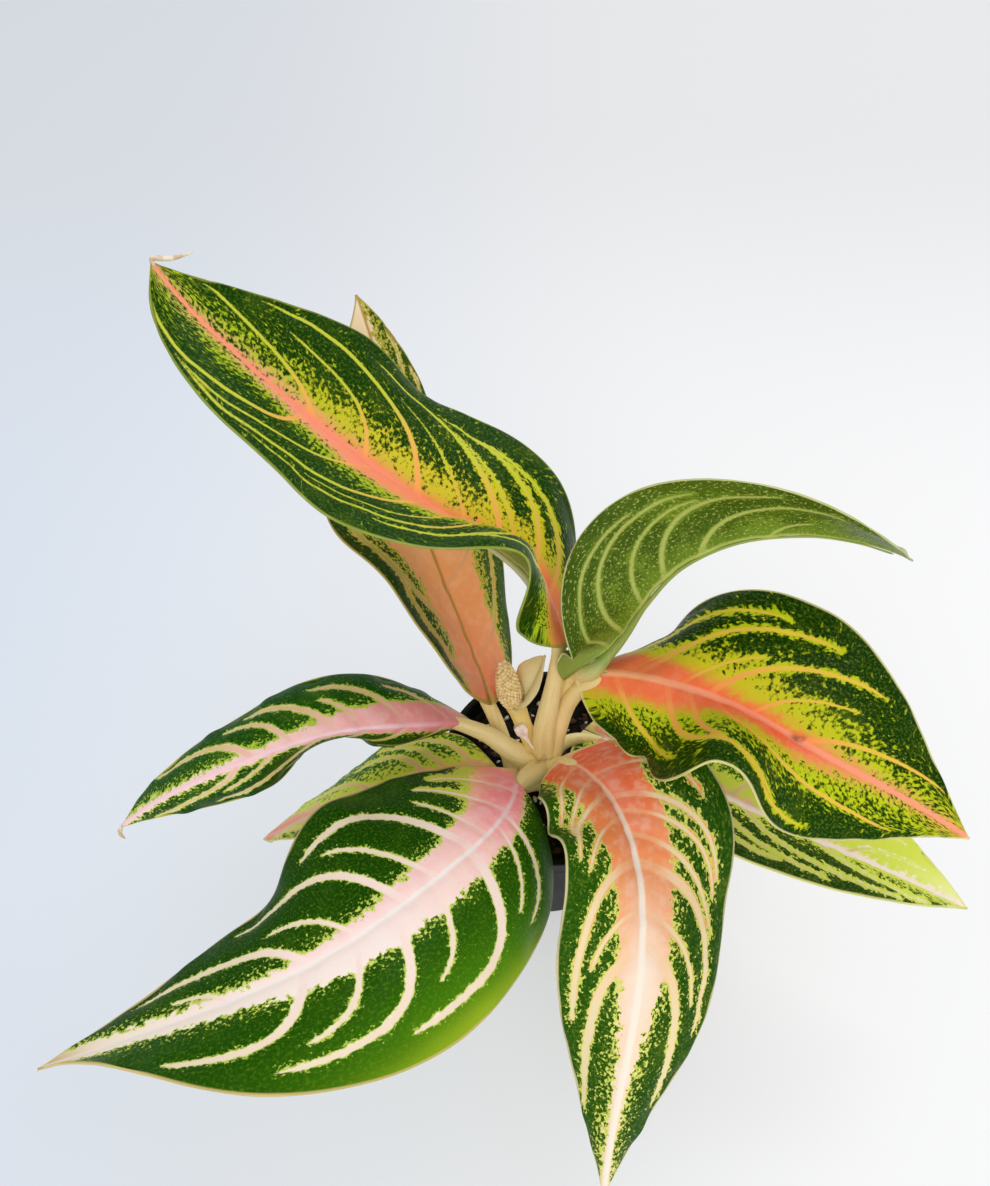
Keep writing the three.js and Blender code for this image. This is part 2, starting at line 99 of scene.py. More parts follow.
def smooth_at(stations: Sequence[float], values: Sequence[float], s: np.ndarray) -> np.ndarray:
    """Smooth values through given ones.

    Args:
        stations: Places of the given values, rising.
        values: The given values, or rows of them.
        s: Places to read.

    Returns:
        The value at each place, on a cubic with averaged slopes.
    """
    at, known = np.asarray(stations, float), np.asarray(values, float)
    slope = np.empty_like(known)
    gaps = at[2:] - at[:-2]
    slope[1:-1] = (known[2:] - known[:-2]) / (gaps if known.ndim == 1 else gaps[:, None])
    slope[0] = (known[1] - known[0]) / (at[1] - at[0])
    slope[-1] = (known[-1] - known[-2]) / (at[-1] - at[-2])
    i = np.clip(np.searchsorted(at, s, side="right") - 1, 0, len(at) - 2)
    span = at[i + 1] - at[i]
    t = np.clip((s - at[i]) / span, 0, 1)
    if known.ndim > 1:
        span, t = span[..., None], t[..., None]
    t2, t3 = t * t, t * t * t
    return (
        (2 * t3 - 3 * t2 + 1) * known[i]
        + (t3 - 2 * t2 + t) * span * slope[i]
        + (3 * t2 - 2 * t3) * known[i + 1]
        + (t3 - t2) * span * slope[i + 1]
    )


def smooth_by_side(
    u: np.ndarray, stations: Sequence[float], left: Sequence[float], right: Sequence[float], s: np.ndarray
) -> np.ndarray:
    """Smooth values from the right list where u is negative, and from the left one elsewhere."""
    return np.where(u < 0, smooth_at(stations, right, s), smooth_at(stations, left, s))


def colours_at(stations: Sequence[float], colours: Sequence[str], s: np.ndarray) -> np.ndarray:
    """Linear colours blended between hex colours given at stations along a blade."""
    known = np.array([linear(c) for c in colours])
    return np.stack([np.interp(s, stations, known[:, k]) for k in range(4)], -1)


# Materials --------------------------------------------------------------------


class Step(Enum):
    """The kinds of node that the finishes are made of.

    Each gives the node's type, its settings, the inputs that take values in turn, and the output that is
    read on, if it has one.
    """

    PLACE = ("ShaderNodeTexCoord", {}, (), "Object")
    LAID_VECTOR = ("ShaderNodeAttribute", {}, (), "Vector")
    LAID_COLOUR = ("ShaderNodeAttribute", {}, (), "Color")
    LAID_NUMBER = ("ShaderNodeAttribute", {}, (), "Fac")
    SPLIT = ("ShaderNodeSeparateXYZ", {}, (0,), 0)
    RED = ("ShaderNodeSeparateColor", {}, (0,), 0)
    STRETCH = ("ShaderNodeVectorMath", {"operation": "MULTIPLY"}, (0, 1), 0)
    ABSOLUTE = ("ShaderNodeMath", {"operation": "ABSOLUTE"}, (0,), 0)
    ADD = ("ShaderNodeMath", {"operation": "ADD"}, (0, 1), 0)
    SUBTRACT = ("ShaderNodeMath", {"operation": "SUBTRACT"}, (0, 1), 0)
    MULTIPLY = ("ShaderNodeMath", {"operation": "MULTIPLY"}, (0, 1), 0)
    MULTIPLY_ADD = ("ShaderNodeMath", {"operation": "MULTIPLY_ADD"}, (0, 1, 2), 0)
    MINIMUM = ("ShaderNodeMath", {"operation": "MINIMUM"}, (0, 1), 0)
    MAXIMUM = ("ShaderNodeMath", {"operation": "MAXIMUM"}, (0, 1), 0)
    SMOOTH_MIN = ("ShaderNodeMath", {"operation": "SMOOTH_MIN"}, (0, 1, 2), 0)
    EASE = ("ShaderNodeMapRange", {"interpolation_type": "SMOOTHSTEP"}, (0, 1, 2, 3, 4), 0)
    BLEND = ("ShaderNodeMix", {"data_type": "RGBA", "clamp_factor": True}, (0, 6, 7), 2)
    GRAIN = ("ShaderNodeTexNoise", {}, ("Vector", "Scale", "Detail", "Roughness"), 0)
    CELLS = ("ShaderNodeTexVoronoi", {}, ("Vector", "Scale"), "Color")
    BUMP = ("ShaderNodeBump", {}, ("Height", "Distance", "Strength"), 0)
    SURFACE = ("ShaderNodeBsdfPrincipled", {}, ("Base Color", "Roughness"), 0)
    OUTPUT = ("ShaderNodeOutputMaterial", {}, ("Surface",), None)


class Shading:
    """A material's node tree in the making.

    EASE goes smoothly from one value to another while its first input passes between two limits. BLEND lays
    a second colour over a first by a share. GRAIN is a noise from 0 to 1, in lumps per unit of its vector.
    """

    def __init__(self, name: str) -> None:
        """Starts an empty material.

        Args:
            name: The material's name.
        """
        self.material = bpy.data.materials.new(name)
        self.material.use_nodes = True
        self.tree = self.material.node_tree
        self.tree.nodes.clear()

    def add(
        self, step: Step, *values: Any, more: dict[str, Any] | None = None, **settings: Any
    ) -> bpy.types.NodeSocket | None:
        """Adds a node with its settings and links.

        Args:
            step: The kind of node.
            values: A number, a colour or another node's output for each of the step's inputs in turn.
            more: Values for further inputs, by name.
            settings: Values of the node's own properties, beside those that the step sets.

        Returns:
            The output that is read on, or nothing for a material's last node.
        """
        kind, own, inputs, output = step.value
        node = self.tree.nodes.new(kind)
        for name, value in (own | settings).items():
            setattr(node, name, value)
        for name, value in [*zip(inputs, values), *(more or {}).items()]:
            if isinstance(value, bpy.types.NodeSocket):
                self.tree.links.new(value, node.inputs[name])
            else:
                node.inputs[name].default_value = value
        return None if output is None else node.outputs[output]

    def finish(
        self, colour: Any, roughness: Any, bump: Any = None, bump_mm: float = 0.1, **surface: Any
    ) -> bpy.types.Material:
        """Closes the material with one principled surface.

        Args:
            colour: Base colour.
            roughness: Roughness.
            bump: A height from 0 to 1, or nothing.
            bump_mm: How high 1 stands, in millimetres.
            surface: Further inputs of the surface, with _ for a space.

        Returns:
            The finished material.
        """
        more = {name.replace("_", " "): value for name, value in surface.items()}
        if bump is not None:
            more["Normal"] = self.add(Step.BUMP, bump, bump_mm * MM, 1.0)
        self.add(Step.OUTPUT, self.add(Step.SURFACE, colour, roughness, more=more))
        return self.material


@dataclass(frozen=True)
class MouldedPolypropylene:
    """Black nursery-pot plastic: injection moulded, a soft sheen and a faint grain from the tool."""

    colour: str = "#0b0c0d"
    worn: str = "#151618"
    roughness: float = 0.5
    specular: float = 0.14
    grain_mm: float = 1.6
    grain_depth_mm: float = 0.03
    cloud_mm: float = 30

    def material(self) -> bpy.types.Material:
        """Wide clouds of a worn, duller black over the moulded grain.

        Returns:
            The pot's material.
        """
        shading = Shading("Moulded black polypropylene")
        add = shading.add
        place = add(Step.PLACE)
        cloud = add(Step.GRAIN, place, 1 / (self.cloud_mm * MM), 3)
        fine = add(Step.GRAIN, place, 1 / (self.grain_mm * MM), 2)
        colour = add(Step.BLEND, add(Step.EASE, cloud, 0.45, 0.7), linear(self.colour), linear(self.worn))
        rough = add(Step.EASE, cloud, 0.3, 0.7, self.roughness - 0.05, self.roughness + 0.08)
        return shading.finish(colour, rough, fine, self.grain_depth_mm, Specular_IOR_Level=self.specular)


@dataclass(frozen=True)
class PottingMix:
    """Damp peat and bark: almost black, matt, crumbs of a few millimetres with brown fibres."""

    peat: str = "#0d0c09"
    crumb: str = "#241a11"
    fibre: str = "#513a1c"
    roughness: float = 0.95
    specular: float = 0.2
    crumb_mm: float = 2.2
    crumb_depth_mm: float = 1.6
    fibre_patch_mm: float = 7

    def material(self) -> bpy.types.Material:
        """Crumbs that turn browner where they stand higher, with fibres on the highest of some patches.

        Returns:
            The potting mix's material.
        """
        shading = Shading("Peat and bark potting mix")
        add = shading.add
        place = add(Step.PLACE)
        lumps = add(Step.GRAIN, place, 1 / (self.crumb_mm * MM), 5, 0.65)
        patches = add(Step.GRAIN, place, 1 / (self.fibre_patch_mm * MM), 3)
        colour = add(Step.BLEND, add(Step.EASE, lumps, 0.45, 0.62), linear(self.peat), linear(self.crumb))
        fibres = add(Step.MULTIPLY, add(Step.EASE, lumps, 0.6, 0.68), add(Step.EASE, patches, 0.5, 0.6))
        colour = add(Step.BLEND, fibres, colour, linear(self.fibre))
        return shading.finish(
            colour, self.roughness, lumps, self.crumb_depth_mm, Specular_IOR_Level=self.specular
        )


@dataclass(frozen=True)
class PlainFinish:
    """A finish with a soft cloud of a second tone, for small parts."""

    name: str
    colour: str
    cloud: str
    cloud_mm: float
    roughness: float
    bump_mm: float = 0.05

    def material(self) -> bpy.types.Material:
        """The cloud over the first tone, standing a little proud.

        Returns:
            The finish's material.
        """
        shading = Shading(self.name)
        add = shading.add
        lumps = add(Step.GRAIN, add(Step.PLACE), 1 / (self.cloud_mm * MM), 3)
        colour = add(Step.BLEND, add(Step.EASE, lumps, 0.4, 0.65), linear(self.colour), linear(self.cloud))
        return shading.finish(colour, self.roughness, lumps, self.bump_mm)


@dataclass(frozen=True)
class PetioleSkin:
    """Waxy petiole skin: cream to tan with fine lengthwise streaks and a few olive flecks.

    The pattern is read from how far along and round the stalk a point lies, in millimetres.
    """

    name: str = "Petiole skin"
    streak: str = "#d6b46c"
    fleck: str = "#8a7f3a"
    roughness: float = 0.42
    specular: float = 0.45
    streaks_per_mm: float = 1.1
    streak_squeeze: float = 0.035
    streak_depth_mm: float = 0.06
    clouds_per_mm: float = 0.09
    flecks_per_mm: float = 0.8

    def material(self) -> bpy.types.Material:
        """Streaks, clouds and flecks over the skin colour that is laid on the stalk.

        Returns:
            The petiole's material.
        """
        shading = Shading(self.name)
        add = shading.add
        run = add(Step.LAID_VECTOR, attribute_name="run")
        stretched = add(Step.STRETCH, run, (self.streak_squeeze, 1.0, 1.0))
        streaks = add(Step.GRAIN, stretched, self.streaks_per_mm, 3)
        cloud = add(Step.GRAIN, run, self.clouds_per_mm, 3)
        flecks = add(Step.GRAIN, run, self.flecks_per_mm, 1)
        colour = add(Step.LAID_COLOUR, attribute_name="skin")
        for share, tone in (
            (add(Step.EASE, streaks, 0.5, 0.72, 0, 0.4), self.streak),
            (add(Step.EASE, cloud, 0.56, 0.74, 0, 0.45), self.streak),
            (add(Step.EASE, flecks, 0.72, 0.76, 0, 0.35), self.fleck),
        ):
            colour = add(Step.BLEND, share, colour, linear(tone))
        return shading.finish(
            colour, self.roughness, streaks, self.streak_depth_mm, Specular_IOR_Level=self.specular
        )


# The pattern of a leaf --------------------------------------------------------


class Layer(Enum):
    """What a local wash changes on a blade."""

    GROUND = "ground"
    LIME = "lime"
    DARK = "dark"
    OPEN = "open"
    DEEP = "deep"
    DRIED = "dried"
    SPECKLED = "speckled"


@dataclass(frozen=True)
class Vein:
    """A lateral vein: it leaves the midrib, swings towards the tip and runs on beside the margin.

    Lengths along the blade are shares of it, and lengths across are millimetres, positive on the left.
    """

    start: float
    spread: float
    bend: float
    reach: float
    width: float
    taper: float = 0.55
    point: float = 0.12
    flare_mm: float = 0.25
    flare_run: float = 0.08

    def line(self, steps: int = 70) -> tuple[np.ndarray, np.ndarray]:
        """The vein's run as shares of the length and millimetres across."""
        v = np.linspace(self.start, self.reach, steps)
        return v, self.spread * (1 - np.exp(-(v - self.start) / self.bend))

    def half_width(self, t: np.ndarray) -> np.ndarray:
        """Half its width in millimetres at shares of its run, flared at the root and pointed at the end."""
        half = 0.5 * self.width * (1 - self.taper * t) * np.minimum(1, (1 - t) / self.point + 0.1)
        return half + self.flare_mm * np.exp(-t / self.flare_run)


@dataclass(frozen=True)
class Wash:
    """A soft local change, round a share of the length and millimetres across.

    On a colour layer it paints, on OPEN or DEEP it moves the edge of the lime or the green by millimetres,
    on SPECKLED it lets more lime show through the green, and on DRIED it browns the skin.
    """

    layer: Layer
    at: Pair
    size_mm: Pair
    colour: str = "#ffffff"
    strength: float = 1.0

    def share(self, x: np.ndarray, y: np.ndarray, length: float) -> np.ndarray:
        """How strongly each point is washed, from 0 to 1."""
        away = ((x - self.at[0] * length) / self.size_mm[0]) ** 2 + ((y - self.at[1]) / self.size_mm[1]) ** 2
        return np.exp(-away)


@dataclass(frozen=True)
class Pattern:
    """Colours and pattern of one blade.

    Widths are in millimetres, and dark gives the left and the right half. The open centre is as wide as
    open_left and open_right say at the five stations, and the lime beside it and along the veins as the
    three lime widths say. Beyond lies the green. It covers the noise below the first value of cover at its
    edge and below the second from fleck_reach inwards, and lime shows through the rest, along the flow where
    streaks is set. The green's edge is jagged by jag, and the centre's blends over blend_mm.
    """

    veins: tuple[Vein, ...]
    open_left: tuple[float, ...]
    open_right: tuple[float, ...]
    ground: tuple[str, str, str, str, str]
    dark: tuple[str, str]
    lime: str
    fleck: str
    vein_root: str
    vein_end: str
    rib: str
    rib_root: str = "#f3c9a8"
    rib_width: tuple[float, float, float] = (1.0, 1.0, 0.5)
    margin: str = "#d9cf7a"
    margin_mm: float = 0.7
    lime_left: float = 1.5
    lime_right: float = 1.5
    lime_vein: float = 0.7
    jag: float = 1.0
    cover: Pair = (0.58, 0.74)
    fleck_reach: float = 6
    fleck_vein: float = 2.5
    streaks: bool = False
    blend_mm: float = 0.5
    vein_gap: float = 0.5
    vein_inside: float = 0.35
    clump: float = 0.0
    fleck_mm: float = 1.3
    fleck_blur: float = 0.1
    under_root: str = "#c9c48a"
    feather: str = ""
    dried: str = "#7a3a20"
    washes: tuple[Wash, ...] = ()
    under: str = "#8b9a52"
    under_dark: str = "#6c8233"
    under_vein: str = "#b3b86c"


@dataclass(frozen=True)
class Ruffle:
    """A local wave in a blade's margin: side 1 is left and -1 right, and the height is in millimetres."""

    side: int
    at: float
    span: float
    height: float


@dataclass(frozen=True)
class BladeShape:
    """The form of a blade, as heading, climb, roll, fold and curl in degrees at its stations."""

    base: Point
    length: float
    half_width: Pair
    heading: tuple[float, ...]
    climb: tuple[float, ...]
    roll: tuple[float, float, float]
    fold_left: tuple[float, ...]
    fold_right: tuple[float, ...]
    curl_left: tuple[float, float, float]
    curl_right: tuple[float, float, float]
    ruffles: tuple[Ruffle, ...] = ()
    lobe_reach: float = LOBE_REACH

    def direction_at(self, s: np.ndarray) -> np.ndarray:
        """Where the midrib heads.

        Args:
            s: Shares of its length.

        Returns:
            Unit directions.
        """
        heading = np.radians(smooth_at(MIDRIB_STATIONS, self.heading, s))
        climb = np.radians(smooth_at(MIDRIB_STATIONS, self.climb, s))
        flat = np.cos(climb)
        return np.stack([flat * np.cos(heading), flat * np.sin(heading), np.sin(climb)], -1)

    def midrib(self, steps: int = 60) -> tuple[np.ndarray, np.ndarray, np.ndarray, np.ndarray]:
        """The midrib's course, bent by heading and climb and turned by roll.

        Args:
            steps: Equal stretches to divide it into.

        Returns:
            Places in millimetres, directions, lefts and upward normals at the ends of the stretches.
        """
        s = np.linspace(0, 1, steps + 1)
        run = np.cumsum(self.direction_at(s[1:] - 0.5 / steps) * self.length / steps, 0)
        place = np.vstack([np.zeros(3), run]) + np.array(self.base)
        heading = np.radians(smooth_at(MIDRIB_STATIONS, self.heading, s))
        direction = self.direction_at(s)
        level = np.stack([-np.sin(heading), np.cos(heading), 0 * heading], -1)
        raised = np.cross(direction, level)
        roll = np.radians(smooth_at(TURN_STATIONS, self.roll, s))[:, None]
        left = level * np.cos(roll) + raised * np.sin(roll)
        up = raised * np.cos(roll) - level * np.sin(roll)
        return place, direction, left, up

    def half_at(self, v: np.ndarray, u: np.ndarray) -> np.ndarray:
        """Half width of the blade, round at its heel.

        Args:
            v: Shares of the length.
            u: Shares of the half width, of which only the side counts.

        Returns:
            Millimetres from the midrib to the margin on that side.
        """
        widest = np.where(u < 0, self.half_width[1], self.half_width[0])
        heel = np.sqrt(1 - (1 - np.clip(v / HEEL_ROUND, 0, 1)) ** 2)
        return np.maximum(widest * smooth_at(OUTLINE_STATIONS, OUTLINE_SHARE, v) * heel, TIP_HALF_WIDTH)

    def points(self, v: np.ndarray, u: np.ndarray) -> np.ndarray:
        """Points of the blade's middle sheet.

        Args:
            v: Shares of the length, from base to tip.
            u: Shares of the half width, from -1 at the right margin to 1 at the left.

        Returns:
            The points in millimetres.
        """
        midrib = self.midrib()
        sign = np.where(u < 0, -1.0, 1.0)
        reach = np.abs(u)
        s = v - self.lobe_reach * (1 - v) ** 5 * reach**1.6
        inside = np.clip(s, 0, 1)
        steps = np.linspace(0, 1, len(midrib[0]))
        place, along, left, up = (
            np.stack([np.interp(inside, steps, row[:, k]) for k in range(3)], -1) for row in midrib
        )
        place = place + along * ((s - inside) * self.length)[..., None]
        curl = smooth_by_side(u, TURN_STATIONS, self.curl_left, self.curl_right, inside)
        fold = smooth_by_side(u, FOLD_STATIONS, self.fold_left, self.fold_right, inside)
        half = np.radians(curl) * reach / 2
        chord = self.half_at(v, u) * reach * np.sinc(half / np.pi)
        tilt = np.radians(fold) - half
        across = (sign * chord * np.cos(tilt))[..., None] * left
        points = place + across + (chord * np.sin(tilt))[..., None] * up
        for ruffle in self.ruffles:
            wave = ruffle.height * np.exp(-(((v - ruffle.at) / ruffle.span) ** 2)) * reach**2
            wave = np.where(sign == ruffle.side, wave, 0.0)
            turned = np.cos(tilt - half)[..., None] * up - (sign * np.sin(tilt - half))[..., None] * left
            points = points + wave[..., None] * turned
        return points


def new_piece(name: str, mesh: bpy.types.Mesh, materials: Sequence[bpy.types.Material]) -> bpy.types.Object:
    """A smooth-shaded object at the origin.

    Args:
        name: The piece's name.
        mesh: Its mesh, in place.
        materials: Its materials, in the order of its faces' numbers.

    Returns:
        The object, linked to the scene.
    """
    piece = bpy.data.objects.new(name, mesh)
    bpy.context.scene.collection.objects.link(piece)
    for material in materials:
        mesh.materials.append(material)
    mesh.polygons.foreach_set("use_smooth", [True] * len(mesh.polygons))
    return piece


def mesh_of(bm: bmesh.types.BMesh, name: str) -> bpy.types.Mesh:
    """Ends a bmesh as a mesh.

    Args:
        bm: The bmesh, which is freed.
        name: The mesh's name.

    Returns:
        The mesh.
    """
    mesh = bpy.data.meshes.new(name)
    bm.to_mesh(mesh)
    bm.free()
    return mesh


def lay(mesh: bpy.types.Mesh, name: str, kind: str, values: np.ndarray) -> None:
    """Lays one value on each point of a mesh, for its material to read.

    Args:
        mesh: The mesh.
        name: The attribute's name.
        kind: FLOAT, FLOAT_VECTOR or FLOAT_COLOR.
        values: A number, vector or colour for each point.
    """
    layer = mesh.attributes.new(name, kind, "POINT")
    key = {"FLOAT": "value", "FLOAT_VECTOR": "vector", "FLOAT_COLOR": "color"}[kind]
    layer.data.foreach_set(key, np.ascontiguousarray(values, np.float32).ravel())


@dataclass
class Blade:
    """One leaf blade with its painted pattern.

    Lengths are in millimetres. The rows of its grid lie closer together towards the base and the tip, by the
    bunching. Veins keep within vein_room of the half width. The lines of flow, which streak the green, swing
    towards the tip by flow_sweep of the length.
    """

    name: str
    shape: BladeShape
    pattern: Pattern
    seed: float
    thickness: float = 0.8
    groove: float = 0.5
    groove_reach: float = 2.4
    rib_groove: float = 0.5
    rib_groove_reach: float = 1.2
    wave: float = 1.0
    waves: float = 5.0
    rows: int = 0
    row_spacing: float = 0.95
    bunching: float = 0.7
    columns: int = 96
    vein_room: float = 0.9
    vein_turn: int = 6
    flow_room: float = 1.12
    flow_sweep: float = 0.17
    far: float = 50.0

    def sheet(self) -> tuple[bpy.types.Mesh, np.ndarray, np.ndarray]:
        """A flat grid for the blade.

        Returns:
            The mesh, and each point's share of the length and of the half width.
        """
        rows = self.rows or int(self.shape.length / self.row_spacing)
        bm = bmesh.new()
        bmesh.ops.create_grid(bm, x_segments=rows, y_segments=self.columns, size=1)
        mesh = mesh_of(bm, self.name)
        flat = np.empty(len(mesh.vertices) * 3, np.float32)
        mesh.vertices.foreach_get("co", flat)
        flat = flat.reshape(-1, 3).astype(float)
        t = (flat[:, 0] + 1) / 2
        v = np.clip(t - self.bunching * np.sin(2 * np.pi * t) / (4 * np.pi), 0, 1)
        return mesh, v, np.clip(flat[:, 1], -1, 1)

    def nearest_vein(self, x: np.ndarray, y: np.ndarray) -> tuple[np.ndarray, np.ndarray]:
        """Where each point lies by its nearest vein.

        Args:
            x: Millimetres along the blade.
            y: Millimetres across it.

        Returns:
            For each point, the signed distance from the nearest vein's middle, that vein's half width there
            and the plain distance from its edge, all in millimetres, and the share of the vein's run.
        """
        best = np.tile((self.far, 0.1, self.far), (len(x), 1))
        share = np.zeros(x.shape)
        for vein in self.pattern.veins:
            v, across = vein.line()
            room = self.vein_room * self.shape.half_at(v, across)
            across = across / (1 + (np.abs(across) / room) ** self.vein_turn) ** (1 / self.vein_turn)
            t = np.linspace(0, 1, len(v))
            half = vein.half_width(t)
            run = np.stack([v * self.shape.length, across], -1)
            step = np.gradient(run, axis=0)
            step /= np.linalg.norm(step, axis=1)[:, None]
            near = np.full(x.shape, self.far)
            where = np.zeros(x.shape, int)
            for i, (px, py) in enumerate(run):
                gap = np.hypot(x - px, y - py) - half[i]
                where = np.where(gap < near, i, where)
                near = np.minimum(gap, near)
            away = np.stack([x, y], -1) - run[where]
            beside = away[:, 1] * step[where, 0] - away[:, 0] * step[where, 1]
            onward = (away * step[where]).sum(-1)
            beyond = np.where(where == len(v) - 1, np.maximum(onward, 0), 0.0)
            beyond = np.where(where == 0, np.maximum(-onward, 0), beyond)
            beside = np.copysign(np.hypot(beside, beyond), beside)
            closer = near < best[:, 2]
            found = np.stack([beside, half[where], near], -1)
            best = np.where(closer[:, None], found, best)
            share = np.where(closer, t[where], share)
        return best, share

    def relief(
        self, v: np.ndarray, u: np.ndarray, y: np.ndarray, near: np.ndarray, rib_half: np.ndarray
    ) -> np.ndarray:
        """How far the sheet's surface stands off its plain form.

        Args:
            v: Shares of the length.
            u: Shares of the half width.
            y: Millimetres from the midrib.
            near: Millimetres from the nearest vein's edge.
            rib_half: The midrib's half width, in millimetres.

        Returns:
            Millimetres up: veins and midrib sink in and the margin waves, all less at the blade's edge.
        """
        lift = -self.groove * np.exp(-((np.maximum(near, 0) / self.groove_reach) ** 2))
        open_fold = smooth_at(FOLD_STATIONS, np.add(self.shape.fold_left, self.shape.fold_right), v)
        hollow = np.clip(1 + open_fold / 30, 0, 1)
        lift = lift - hollow * self.rib_groove * np.exp(-((y / (rib_half + self.rib_groove_reach)) ** 2))
        fade = np.clip(np.minimum(v / 0.06, (1 - v) / 0.1), 0, 1) * np.clip((1 - np.abs(u)) / 0.08, 0, 1)
        turns = 2 * np.pi * self.waves * v + self.seed * np.sign(u)
        ripple = np.sin(turns) + 0.5 * np.sin(2.3 * turns + 1)
        return (lift + self.wave * np.abs(u) ** 4 * ripple) * fade

    def lay_pattern(self, mesh: bpy.types.Mesh, v: np.ndarray, u: np.ndarray) -> np.ndarray:
        """Lays the pattern's distances and colours on the sheet.

        Args:
            mesh: The sheet.
            v: Each point's share of the length.
            u: Each point's share of the half width.

        Returns:
            Each point's surface lift, in millimetres.
        """
        shape, pattern = self.shape, self.pattern
        half = shape.half_at(v, u)
        x, y = v * shape.length, u * half
        vein, share = self.nearest_vein(x, y)
        across = np.abs(y) - smooth_by_side(u, MIDRIB_STATIONS, pattern.open_left, pattern.open_right, v)
        deeper, dried, speckled = (np.zeros(x.shape) for _ in range(3))
        ground = colours_at(MIDRIB_STATIONS, pattern.ground, v)
        lime = np.tile(linear(pattern.lime), (len(v), 1))
        dark_left, dark_right = (np.array(linear(tone)) for tone in pattern.dark)
        dark = np.where((u < 0)[:, None], dark_right, dark_left)
        painted = {Layer.GROUND: ground, Layer.LIME: lime, Layer.DARK: dark}
        for wash in pattern.washes:
            amount = wash.strength * wash.share(x, y, shape.length)
            if wash.layer is Layer.OPEN:
                across = across + amount
            elif wash.layer is Layer.DEEP:
                deeper = deeper + amount
            elif wash.layer is Layer.SPECKLED:
                speckled = speckled + amount
            elif wash.layer is Layer.DRIED:
                dried = np.maximum(dried, amount)
            else:
                colour = painted[wash.layer]
                colour += np.minimum(1, amount)[:, None] * (np.array(linear(wash.colour)) - colour)
        rib_half = np.interp(v, RIB_STATIONS, pattern.rib_width)
        by_rib = np.where(u < 0, pattern.lime_right, pattern.lime_left)
        rim = np.minimum(half - np.abs(y), x + 0.3 * half)
        swept = np.clip(np.abs(y) / (self.flow_room * half), 0, 0.7)
        flow = x + self.flow_sweep * shape.length * np.log(1 - swept)
        # Each half of each leaf reads its own part of the noise.
        side = self.seed + np.where(u < 0, 37.0, 0.0)
        vectors = {
            "leaf_mm": (x, y, np.full(x.shape, self.seed)),
            "flow": (0.75 * flow, 0.6 * x + 0.5 * np.abs(y), side),
            "vein": (vein[:, 0], vein[:, 1], vein[:, 2]),
            "zone": (across, across - by_rib + deeper, deeper),
            "edge": (np.abs(y) - rib_half, rim, dried),
        }
        for name, parts in vectors.items():
            lay(mesh, name, "FLOAT_VECTOR", np.stack(parts, -1))
        lay(mesh, "speckled", "FLOAT", speckled)
        vein_tones = (pattern.vein_root, pattern.vein_end, pattern.vein_end)
        rib_tones = (pattern.rib_root, pattern.rib, pattern.rib)
        colours = {
            "ground": ground,
            "lime": lime,
            "dark": dark,
            "streak": colours_at(RIB_STATIONS, vein_tones, share),
            "tint": colours_at(TINT_STATIONS, rib_tones, v),
        }
        for name, values in colours.items():
            lay(mesh, name, "FLOAT_COLOR", values)
        return self.relief(v, u, y, vein[:, 2], rib_half)

    def build(self) -> bpy.types.Object:
        """Builds, paints and thickens the blade.

        Returns:
            The blade, with its upper face, underside and margin as three materials.
        """
        mesh, v, u = self.sheet()
        lift = self.lay_pattern(mesh, v, u)
        here = self.shape.points(v, u)
        step = 0.004
        ahead = self.shape.points(np.minimum(v + step, 1), u) - self.shape.points(np.maximum(v - step, 0), u)
        right, left = np.maximum(u - step, -1), np.minimum(u + step, 1)
        across = self.shape.points(v, left) - self.shape.points(v, right)
        normal = np.cross(ahead, across)
        normal /= np.maximum(np.linalg.norm(normal, axis=1), 1e-9)[:, None]
        place = (here + lift[:, None] * normal) * MM
        mesh.vertices.foreach_set("co", place.astype(np.float32).ravel())
        mesh.update()
        paint = LeafPaint(self.pattern, self.name)
        blade = new_piece(self.name, mesh, [paint.upper(), paint.lower(), paint.edge()])
        solid = blade.modifiers.new("Thickness", "SOLIDIFY")
        solid.thickness = self.thickness * MM
        solid.offset = 0
        solid.material_offset = 1
        solid.material_offset_rim = 2
        return blade


